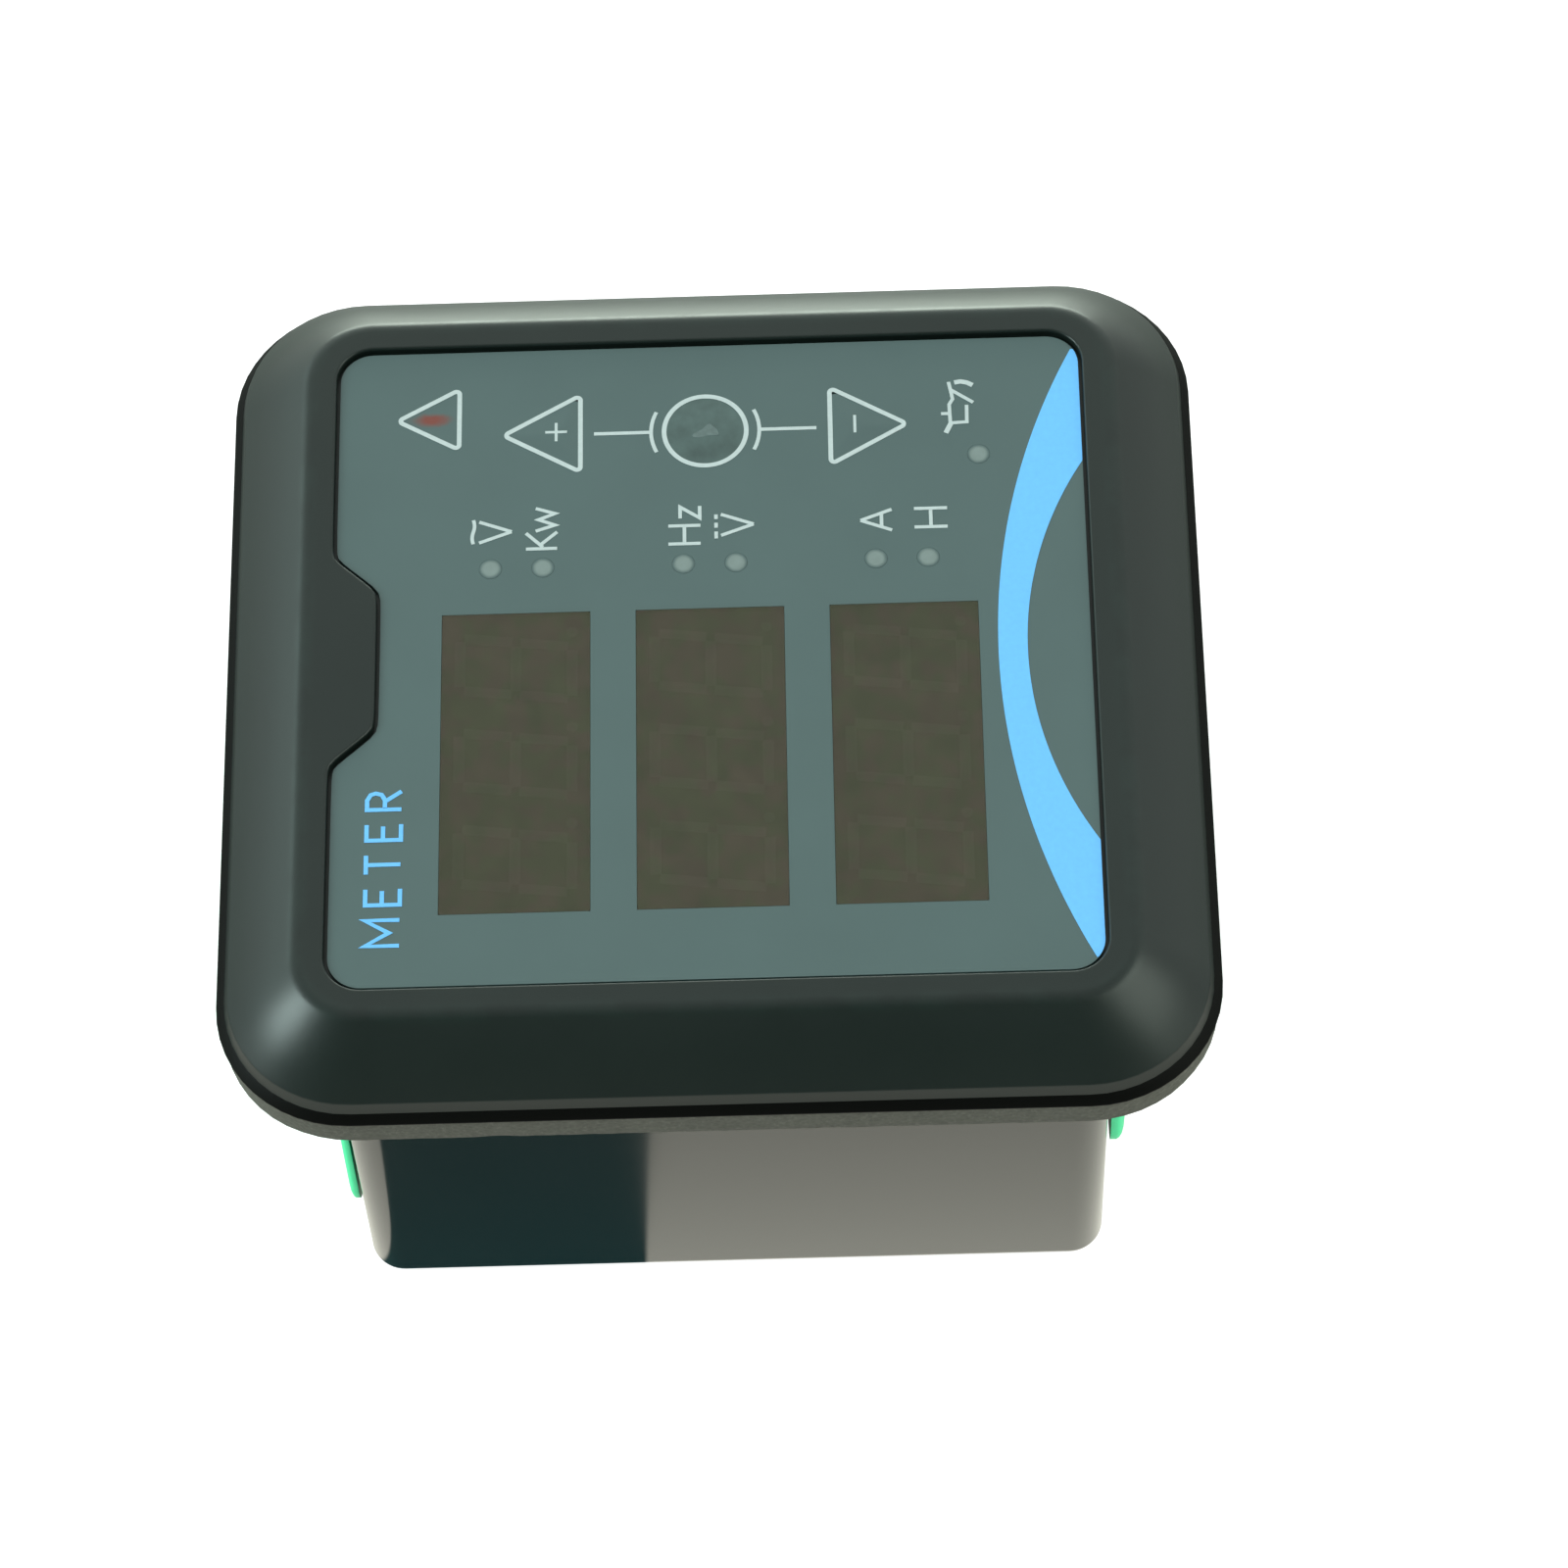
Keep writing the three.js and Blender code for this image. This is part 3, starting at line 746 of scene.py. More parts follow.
@dataclass(frozen=True)
class Winding:
    """Enamelled wire wound in level layers, with painted shade in the grooves between turns."""

    name: str
    colour: Colour
    wire: float = 0.35

    def material(self) -> bpy.types.Material:
        """The finished material."""
        shop = Workshop(self.name, Metallic=0.7, Coat_Weight=0.6, Coat_Roughness=0.1)
        turns = (shop.axis("Z") * (2 * math.pi / self.wire)).math("SINE")
        # The colour follows the bump's wave: darker in the grooves between turns, which is painted shade,
        # and a little lighter on their crests.
        shop.feed("Base Color", shop.tint(self.colour, turns * 0.5 + 0.5, 0.5, 1.15))
        shop.feed("Roughness", shop.noise(1.0, 2.0) * 0.15 + 0.25)
        shop.bump(turns, 0.1)
        return shop.material


class Palette:
    """Every finish of the meter, made once and shared by its pieces."""

    FILM: Colour = (0.0695, 0.1137, 0.1126)

    def __init__(self) -> None:
        """Makes the materials."""
        moulded = MouldedPlastic
        self.bezel = BezelPlastic("bezel_satin", (0.0095, 0.0165, 0.0142), 0.36, 0.14, 0.005).material()
        # Near black and dull: painted shade on the bezel's outer flange, which lies in the shadowed gap
        # above the gasket.
        self.flange_painted_shade = moulded("bezel_flange_painted_shade", (0.001, 0.0014, 0.001), 0.55, 0.2, 0.004, sheen=0.12).material()
        self.case = moulded("case_gloss", (0.012, 0.0125, 0.011), 0.2, 0.3, 0.002, 0.06, 1.0).material()
        self.film = PrintedFilm("face_film", self.FILM).material()
        self.ring = PrintedFilm("ring_key_film", (0.064, 0.104, 0.099), 0.42, 0.45, 1.6).material()
        # A paler film colour for a spot on the ring key.
        self.paler_patch = PrintedFilm("ring_key_paler_patch", (0.105, 0.150, 0.145), 0.4, 0.35, 0.5).material()
        self.filter = SmokedFilter("smoked_window", (0.0585, 0.0538, 0.0325)).material()
        self.white = Ink("white_print", (0.48, 0.55, 0.55)).material()
        self.blue = Ink("blue_print", (0.141, 0.484, 0.95)).material()
        self.foam = Foam("gasket_foam", (0.086, 0.088, 0.07)).material()
        self.clip = moulded("clip_nylon", (0.004, 0.92, 0.36), 0.4, 0.2, 0.004).material()
        self.warning_lens = LampLens("lamp_lens", self.FILM, (0.27, 0.36, 0.34), 23.9, 23.5).material()
        self.display = moulded("display_epoxy", (0.03, 0.028, 0.026), 0.5).material()
        self.segment = moulded("display_segments", (0.36, 0.34, 0.30), 0.45).material()
        self.board = Laminate("board_laminate", (0.010, 0.10, 0.04), (0.02, 0.19, 0.08)).material()
        self.chip = moulded("chip_epoxy", (0.014, 0.014, 0.015), 0.55, 0.08, 0.006).material()
        self.steel = Metal("plated_steel", (0.62, 0.62, 0.60)).material()
        self.terminal = moulded("terminal_nylon", (0.012, 0.30, 0.10), 0.42, 0.15).material()
        self.nylon = moulded("white_nylon", (0.76, 0.75, 0.70), 0.45).material()
        self.sleeve = moulded("capacitor_sleeve", (0.020, 0.030, 0.060), 0.3, coat=0.4).material()
        self.varistor = moulded("varistor_coating", (0.03, 0.15, 0.42), 0.3, 0.5, 0.02, coat=0.5).material()
        self.winding = Winding("winding_wire", (0.50, 0.17, 0.06)).material()
        self.label = PrintedFilm("label_stock", (0.55, 0.57, 0.56), 0.45).material()
        self.dark = Ink("dark_print", (0.02, 0.02, 0.022)).material()


# ------------------------------------------------------------------------------ the meter


@dataclass
class Face:
    """Where things are on the face, in millimetres from its centre.

    Attributes:
        half_x: half the opening in the bezel along X, and half_y along Y.
        corner: the opening's corner radius.
        top: height of the film's front.
        film: its thickness.
        tab_inner: half the tab's width at its tip, tab_outer at its root.
        tab_depth: how far it reaches in, and tab_blend how soft its bends are.
        film_gap: the gap between the film and the bezel.
        ridge: how far outside the opening the bezel is highest.
        narrower: share of its way beyond the ridge by which a ring moves out less, in X and Y.
        fuller: share of that way by which the ring's corner radius grows less.
        key_x: the keys' place along X, and lamp_x the lamps'.
        ring_y: the ring key's place along Y.
        window_x: the windows' middle along X, and window_y the middle one's along Y.
        window_pitch: the distance between windows, and window_half their half sizes.
    """

    half_x: float = 31.84
    half_y: float = 32.65
    corner: float = 3.2
    top: float = 52.0
    film: float = 0.4
    tab_inner: float = 6.9
    tab_outer: float = 10.3
    tab_depth: float = 3.9
    tab_blend: float = 0.45
    film_gap: float = 0.33
    ridge: float = 2.3
    narrower: tuple[float, float] = (0.075, 0.02)
    fuller: float = 0.2
    key_x: float = 22.62
    ring_y: float = 0.4
    lamp_x: float = 9.03
    window_x: float = -10.15
    window_y: float = 0.17
    window_pitch: float = 16.62
    window_half: tuple[float, float] = (14.65, 6.37)

    def tab_drop(self, x: Array) -> Array:
        """How far the tab reaches in from the top edge at each x.

        A ramp between the tab's inner and outer half widths, whose two bends are rounded by
        replacing max(u, 0) with (u + sqrt(u u + k k)) / 2.
        """

        def ramp(u: Array) -> Array:
            return (u + np.sqrt(u * u + self.tab_blend**2)) / 2

        span = self.tab_outer - self.tab_inner
        rise = ramp(np.abs(x) - self.tab_inner) - ramp(np.abs(x) - self.tab_outer)
        return np.maximum(self.tab_depth * (1 - rise / span), 0.0)

    @staticmethod
    def side_shares() -> Array:
        """Where the sides get points, close together over the tab."""
        return np.linspace(0, 1, 98)[1:-1]

    def ring(self, offset: float) -> Array:
        """The face opening's plain outline, moved outwards.

        Beyond the ridge it moves a little less, along X more so than along Y, and its corners
        grow rounder more slowly than it moves.
        """
        beyond = max(0.0, offset - self.ridge)
        half_x = self.half_x + offset - self.narrower[0] * beyond
        half_y = self.half_y + offset - self.narrower[1] * beyond
        corner = self.corner + offset - self.fuller * beyond
        return rounded_rectangle(half_x, half_y, corner, 12, self.side_shares())

    def opening(self, offset: float) -> Array:
        """The face opening's outline with the tab cut out of it, moved outwards."""
        line = self.ring(0.0)
        on_top = line[:, 1] > self.half_y - 1e-6
        line[:, 1] -= np.where(on_top, self.tab_drop(line[:, 0]), 0.0)
        return offset_line(line, offset)

    def windows(self) -> list[tuple[str, float]]:
        """The windows' names and heights on the face."""
        rows = (("top", 1), ("middle", 0), ("bottom", -1))
        return [(name, self.window_y + step * self.window_pitch) for name, step in rows]

    def lamps(self) -> dict[str, tuple[float, float]]:
        """The round lamps' names and places."""
        column = {"volts_ac": 19.03, "power": 14.51, "frequency": 2.4}
        column |= {"volts_dc": -2.12, "current": -14.17, "hours": -18.67}
        return {name: (self.lamp_x, y) for name, y in column.items()} | {"oil": (19.44, -23.33)}


FACE = Face()


@dataclass
class Bezel:
    """The sloped frame round the face, with its tab, plate and screw posts."""

    palette: Palette
    section: tuple[tuple[float, float, float], ...] = (
        # offset outwards from the opening, height above the film, fillet radius
        (8.7, -6.3, 0.05), (9.0, -5.75, 0.1), (8.62, -4.55, 0.5), (5.8, -1.66, 25.0), (2.5, 0.5, 2.2),
        (0.0, 0.5, 0.22), (0.0, -0.5, 0.0), (-0.6, -0.5, 0.0),
        (-0.6, -1.9, 0.0), (1.45, -1.9, 0.0), (1.45, -6.3, 0.15), (3.0, -6.3, 0.15),
        (3.0, -2.4, 0.5), (7.4, -5.2, 0.5), (8.1, -6.3, 0.1),
    )
    # The band over the outer flange: offset, height and fillet radius. Its near-black dull finish is painted
    # shade.
    flange_painted_shade: tuple[tuple[float, float, float], ...] = (
        (9.3, -6.6, 0.05), (9.9, -6.5, 0.15), (9.05, -5.7, 0.2), (8.4, -5.3, 0.1), (8.2, -6.6, 0.05),
    )
    rim: tuple[float, float] = (0.3, 1.5)

    def build(self) -> None:
        """Makes the frame, a near-black band over its outer flange that is painted shade for the gap above
        the gasket, and the plate with its posts.
        """
        line = filleted(list(self.section), 8)
        inner, outer = self.rim
        rings = [self._ring(offset) for offset in line[:, 0]]
        heights = (line[:, 1] + FACE.top).tolist()
        # Two further rings hold the flat rim level between the lip and the ridge.
        flat = next(i for i, (offset, height) in enumerate(line) if height > 0.499 and offset < outer)
        for offset in (inner, outer):
            rings.insert(flat, self._ring(offset))
            heights.insert(flat, FACE.top + 0.5)
        frame = mesh_object("bezel_frame", frame_sweep(rings, np.array(heights)))
        dress(frame, self.palette.bezel, replaces=("front_bezel",), angle=50)
        # A near-black band over the outer flange: painted shade for the gap between the bezel and the
        # gasket.
        hem = filleted(list(self.flange_painted_shade), 5)
        flange_painted_shade = frame_sweep([FACE.ring(offset) for offset in hem[:, 0]], hem[:, 1] + FACE.top)
        dress(mesh_object("bezel_flange_painted_shade", flange_painted_shade), self.palette.flange_painted_shade, angle=50)
        self._plate()

    def _ring(self, offset: float) -> Array:
        """The outline at an offset: the tab is cut out of it inside the rim, and gone outside."""
        inner, outer = self.rim
        return FACE.opening(offset) if offset <= inner else FACE.ring(offset)

    def _plate(self) -> None:
        """The plate under the film, pierced for windows, keys and lamps, and four hollow posts."""
        top, under = FACE.top - 0.5, FACE.top - 1.9
        sheet = mesh_object("bezel_plate", plate(FACE.ring(-0.7)[::4], under + 0.02, top - 0.02))
        low, high, left, right = under - 1, top + 1, FACE.window_x - 15.3, FACE.window_x + 15.3
        cutters = [block((left, y - 7.05, low), (right, y + 7.05, high)) for _, y in FACE.windows()]
        holes = [circle(x, y, 0.9, 24) for x, y in FACE.lamps().values()]
        holes += [outline(0.4) for outline in KeyPad.outlines().values()]
        carve(sheet, cutters + [plate(hole, low, high) for hole in holes])
        soften(sheet, 0.08, 1)
        dress(sheet, self.palette.bezel)
        tube = np.array([[1.0, 34.2], [2.5, 34.2], [2.6, 34.3], [2.6, under + 0.1], [1.0, under + 0.1]])
        posts = [
            frame_sweep([circle(x, y, r, 24) for r in tube[:, 0]], tube[:, 1])
            for x in (-28.0, 28.0)
            for y in (-27.2, 27.2)
        ]
        dress(mesh_object("bezel_posts", Solid.joined(posts)), self.palette.bezel)


@dataclass
class KeyPad:
    """The three keys: patches of the film over snap dome switches."""

    palette: Palette
    crown: float = 0.10

    @staticmethod
    def triangle(
        base: float,
        apex: float,
        inset: float,
        round_off: float = 0.5,
        half_base: float = 4.2,
        x: float = FACE.key_x,
    ) -> Array:
        """A triangle with round corners, drawn in from a printed one by an inset.

        An inset of a triangle is the same triangle made smaller about the centre of its
        inscribed circle.

        Args:
            base: its base's place along Y.
            apex: its point's place along Y.
            inset: how far it is drawn in.
            round_off: its corners' radius.
            half_base: half its base.
            x: its middle along X.

        Returns:
            Its points, anticlockwise.
        """
        height = abs(apex - base)
        inradius = half_base * height / (half_base + math.hypot(half_base, height))
        up = math.copysign(1.0, apex - base)
        middle = base + up * inradius
        scale = 1 - inset / inradius
        corners = [(-half_base, base), (half_base, base), (0.0, apex)]
        placed = [(x + cx * scale, middle + (cy - middle) * scale, round_off) for cx, cy in corners]
        return filleted(placed if up > 0 else placed[::-1], 8)

    @classmethod
    def outlines(cls) -> dict[str, Callable[[float], Array]]:
        """Each key's outline as a function of how much it is grown."""
        return {
            "plus": lambda grow: cls.triangle(11.08, 18.42, 0.2 - grow),
            "select": lambda grow: circle(FACE.key_x, FACE.ring_y, 3.57 + grow, 64),
            "minus": lambda grow: cls.triangle(-10.3, -17.6, 0.2 - grow),
        }

    def build(self) -> None:
        """Makes each key as a low crowned patch with a pusher under it."""
        centres = {"plus": 13.3, "select": FACE.ring_y, "minus": -12.5}
        for name, outline in self.outlines().items():
            edge = outline(0.0)
            middle = np.array([FACE.key_x, centres[name]])
            shares = np.linspace(1.0, 0.04, 14)
            rings = [edge, edge] + [middle + (edge - middle) * s for s in shares[1:]]
            swell = self.crown * (1 - shares[1:] ** 2) ** 1.5
            heights = FACE.top + np.concatenate([[-FACE.film, 0.0], swell])
            stem = np.array([[1.7, -1.55], [1.9, -1.45], [1.9, -FACE.film]]) + [0, FACE.top]
            solid = Solid.joined([loft(rings, heights), lathe(stem, 32, *middle)])
            piece = mesh_object("key_patch_" + name, solid)
            finish = self.palette.ring if name == "select" else self.palette.film
            dress(piece, finish, "key_" + name, ("key_" + name,))


class Stroke(Enum):
    """Printed line widths, in millimetres."""

    LETTER = 0.31
    LINE = 0.33
    SYMBOL = 0.41
    HEADING = 0.37
    SPOUT = 0.44
    KEY = 0.25
    SMALL = 0.2
    LABEL = 0.14


class Lettering:
    """A plain drawn alphabet: each sign is a few lines in a box one unit high."""

    SIGNS: dict[str, tuple[float, list[list[tuple[float, float]]]]] = {
        "V": (0.76, [[(0, 1), (0.38, 0)], [(0.38, 0), (0.76, 1)]]),
        "K": (0.62, [[(0, 0), (0, 1)], [(0.6, 1), (0.06, 0.46)], [(0.14, 0.54), (0.62, 0)]]),
        "w": (0.86, [[(0, 0.69), (0.21, 0.07), (0.43, 0.6), (0.65, 0.07), (0.86, 0.69)]]),
        "H": (0.66, [[(0, 0), (0, 1)], [(0.66, 0), (0.66, 1)], [(0.06, 0.5), (0.6, 0.5)]]),
        "z": (0.43, [[(0, 0.63), (0.42, 0.63), (0, 0.02), (0.44, 0.02)]]),
        "A": (0.78, [[(0, 0), (0.39, 1)], [(0.39, 1), (0.78, 0)], [(0.14, 0.33), (0.64, 0.33)]]),
        "M": (0.84, [[(0, 0), (0, 1), (0.42, 0.3), (0.84, 1), (0.84, 0)]]),
        "E": (0.52, [[(0.52, 1), (0, 1), (0, 0), (0.52, 0)], [(0.05, 0.52), (0.46, 0.52)]]),
        "T": (0.62, [[(0, 1), (0.62, 1)], [(0.31, 0), (0.31, 0.95)]]),
        "R": (0.58, [
            [(0, 0), (0, 1), (0.32, 1), (0.5, 0.9), (0.55, 0.75), (0.5, 0.58), (0.32, 0.48), (0.05, 0.48)],
            [(0.3, 0.44), (0.6, 0)],
        ]),
        "0": (0.5, [[
            (0.25, 0), (0.05, 0.2), (0, 0.5), (0.05, 0.8), (0.25, 1), (0.45, 0.8), (0.5, 0.5), (0.45, 0.2),
            (0.25, 0),
        ]]),
        "1": (0.3, [[(0, 0.78), (0.25, 1), (0.25, 0)]]),
        "2": (0.5, [[(0, 0.8), (0.12, 0.96), (0.3, 1), (0.47, 0.86), (0.47, 0.66), (0, 0), (0.52, 0)]]),
        "3": (0.5, [[(0.02, 0.92), (0.3, 1), (0.47, 0.78), (0.2, 0.54), (0.5, 0.3), (0.28, 0), (0, 0.08)]]),
        "4": (0.52, [[(0.4, 0), (0.4, 1), (0, 0.3), (0.54, 0.3)]]),
        "5": (0.5, [[(0.47, 1), (0.06, 1), (0.02, 0.54), (0.3, 0.62), (0.5, 0.34), (0.3, 0), (0, 0.06)]]),
        "6": (0.5, [[(0.42, 1), (0.1, 0.7), (0, 0.3), (0.25, 0), (0.5, 0.3), (0.27, 0.56), (0.03, 0.4)]]),
        "7": (0.5, [[(0, 1), (0.5, 1), (0.15, 0)]]),
        "8": (0.5, [[
            (0.25, 0.54), (0.04, 0.78), (0.25, 1), (0.46, 0.78), (0.25, 0.54), (0, 0.26), (0.25, 0),
            (0.5, 0.26), (0.25, 0.54),
        ]]),
        "9": (0.5, [[(0.08, 0), (0.4, 0.3), (0.5, 0.7), (0.25, 1), (0, 0.7), (0.23, 0.44), (0.47, 0.6)]]),
    }

    @classmethod
    def lines(
        cls, text: str, x: float, y: float, height: float, gap: float = 0.2, mirror: bool = False
    ) -> list[Array]:
        """The lines of a word.

        Args:
            text: what it says.
            x: its left end.
            y: its foot.
            height: the height of a capital.
            gap: the space between signs, as a share of the height.
            mirror: whether X runs backwards, for a face that looks down.

        Returns:
            One array of points for each line.
        """
        made, pen = [], 0.0
        for sign in text:
            width, lines = cls.SIGNS[sign]
            made += [(np.array(line) + [pen, 0]) * height for line in lines]
            pen += width + gap
        flip = -1.0 if mirror else 1.0
        return [line * [flip, 1.0] + [x, y] for line in made]


@dataclass
class Printing:
    """Everything printed on the face, as thin layers of ink."""

    palette: Palette
    thickness: float = 0.02
    sunk: float = 0.005
    step: float = 0.0003
    layers: int = 0

    def _levels(self) -> tuple[float, float]:
        """The next line's underside and top: each lies a hair above the last, so none coincide."""
        self.layers += 1
        return FACE.top - self.sunk, FACE.top + self.thickness + self.layers * self.step

    def lines(self, paths: list[Array], width: float, closed: bool = False) -> list[Solid]:
        """Printed lines along several paths."""
        return [ribbon(path, width, *self._levels(), closed) for path in paths]

    def build(self) -> None:
        """Prints the symbols, the unit marks, the heading and the band."""
        white, blue = self.palette.white, self.palette.blue
        symbols = self._symbols() + self._units() + self._oil_can()
        heading = self.lines(Lettering.lines("METER", -27.6, 26.35, 2.9, 0.5), Stroke.HEADING.value)
        dress(mesh_object("print_symbols", Solid.joined(symbols)), white)
        dress(mesh_object("print_heading", Solid.joined(heading)), blue)
        dress(mesh_object("print_band", self._band()), blue)
        self._warning()
        self._key_marks()

    def _symbols(self) -> list[Solid]:
        """The keys' outlines, the arcs and lines between them, and the warning triangle."""
        x, y, half = FACE.key_x, FACE.ring_y, Stroke.SYMBOL.value / 2
        outlines = [
            KeyPad.triangle(11.08, 18.42, half, 0.3, 4.34, x + 0.08),
            KeyPad.triangle(-10.3, -17.6, half, 0.3, 4.34, x + 0.16),
            KeyPad.triangle(21.66, 27.7, half, 0.3, 3.5, 24.5),
            circle(x, y, 3.79 - half, 96),
        ]
        open_lines = [
            arc(x, y, 4.72, 64, 116),
            arc(x, y, 4.72, 244, 296),
            np.array([[x, 5.2], [x, 10.1]]),
            np.array([[x, -9.3], [x, -4.4]]),
        ]
        return self.lines(outlines, Stroke.SYMBOL.value, True) + self.lines(open_lines, Stroke.LINE.value)

    def _units(self) -> list[Solid]:
        """The unit beside each pair of lamps, with the marks for alternating and direct voltage."""
        words = [
            ("V", 11.71, 17.23, 2.8, 0.0), ("Kw", 10.96, 13.29, 2.69, 0.05), ("Hz", 11.06, 0.9, 2.78, 0.27),
            ("V", 11.8, -3.7, 2.83, 0.0), ("A", 11.87, -15.63, 2.7, 0.0), ("H", 12.1, -20.43, 2.86, 0.0),
        ]
        paths = [line for word in words for line in Lettering.lines(*word)]
        sway = np.linspace(0, 1, 17)
        paths.append(np.stack([11.6 + 2.45 * sway, 20.54 + 0.1 * np.sin(2 * math.pi * sway)], -1))
        dashes = ((11.5, 12.2), (12.6, 13.1), (13.48, 13.95))
        paths += [np.array([[start, -0.45], [end, -0.45]]) for start, end in dashes]
        return self.lines(paths, Stroke.LETTER.value)

    def _oil_can(self) -> list[Solid]:
        """An oil can with a drop at its spout, drawn about its own middle."""
        middle, spread = [24.3, -21.45], [1.0, 1.05]
        can = [
            [(2.7, 0.5), (1.85, 0.35), (0.9, 0.2), (0.35, 0.5), (-1.62, 0.45)],
            [(-0.6, 0.5), (-0.6, 1.2)],
            [(-1.58, 0.4), (-1.52, -0.92), (0.25, -0.95)],
            [(1.85, 0.3), (0.5, -1.5)],
        ]
        thick = [[(-1.5, 0.35), (-2.6, 0.85)], [(2.62, 0.02), (2.72, -0.5), (2.6, -1.0), (2.3, -1.5)]]
        solids = []
        for lines, stroke in ((can, Stroke.LETTER), (thick, Stroke.SPOUT)):
            solids += self.lines([np.array(line) * spread + middle for line in lines], stroke.value)
        return solids

    def _band(self) -> Solid:
        """The curved band: between two circles, and cut off by the film's bottom edge.

        Its columns run from the lower of the two limits, the inner circle or the film's edge, up
        to the outer circle.
        """
        outer_radius, outer_y, inner_radius, inner_y = 67.0, -91.4, 35.7, -62.6
        x = np.linspace(-31.2, 30.6, 240)
        upper = outer_y + np.sqrt(outer_radius**2 - (x + 0.3) ** 2)
        inner = inner_y + np.sqrt(np.maximum(inner_radius**2 - (x + 0.42) ** 2, 0.0))
        gap = FACE.film_gap + 0.01
        corner, half_x, half_y = FACE.corner - gap, FACE.half_x - gap, FACE.half_y - gap
        over = np.clip(np.abs(x) - (half_x - corner), 0, corner)
        edge = -half_y + corner - np.sqrt(corner**2 - over**2)
        lower = np.maximum(inner, edge)
        keep = upper > lower + 0.01
        outline = np.vstack([np.stack([x, lower], -1)[keep], np.stack([x, upper], -1)[keep][::-1]])
        count = int(keep.sum())
        a = np.arange(count - 1)
        b = 2 * count - 1 - a
        top = np.stack([a, a + 1, b - 1, b], -1) + 2 * count
        floor = np.stack([b, b - 1, a + 1, a], -1)
        ends = [tuple(quad) for quad in np.vstack([top, floor]).tolist()]
        points = stacked([outline, outline], np.array(self._levels()))
        return Solid(points, ends + lattice(2, 2 * count, False, True))

    def _warning(self) -> None:
        """The red lamp mark inside the warning triangle."""
        middle, half = (24.5, 24.25), (0.9, 2.2)
        patch = circle(0, 0, 1.0, 48) * half + middle
        ink = WarningInk("warning_print", Palette.FILM, (0.18, 0.044, 0.031), *middle, *half).material()
        spot = plate(patch, FACE.top - self.sunk, FACE.top + 0.002)
        dress(mesh_object("print_warning", spot), ink)

    def _key_marks(self) -> None:
        """Plus and minus signs, and a paler spot on the ring key, each riding on its own key."""
        x, level = FACE.key_x + 0.25, FACE.top + KeyPad.crown
        marks = {
            "plus": [[[x - 0.95, 13.4], [x + 0.95, 13.4]], [[x, 12.45], [x, 14.35]]],
            "minus": [[[x - 0.9, -12.65], [x + 0.9, -12.65]]],
        }
        for name, paths in marks.items():
            solids = [
                ribbon(np.array(path), Stroke.KEY.value, level - 0.08, level + 0.005 + 0.001 * k)
                for k, path in enumerate(paths)
            ]
            solid = Solid.joined(solids)
            dress(mesh_object("key_mark_" + name, solid), self.palette.white, "key_" + name)
        # A paler spot on the ring key, a hair above its crown.
        paler_outline = [[0.1, 0.3], [0.75, -0.35], [0.1, -1], [-0.6, -1.3], [-0.5, -0.4], [-0.75, 0.5], [-0.6, 1.5]]
        spot = filleted([(FACE.key_x + a, FACE.ring_y + b, 0.2) for a, b in paler_outline], 5)
        spot = plate(spot if _turns_left(spot) else spot[::-1], level - 0.08, level + 0.004)
        dress(mesh_object("key_mark_select", spot), self.palette.paler_patch, "key_select")


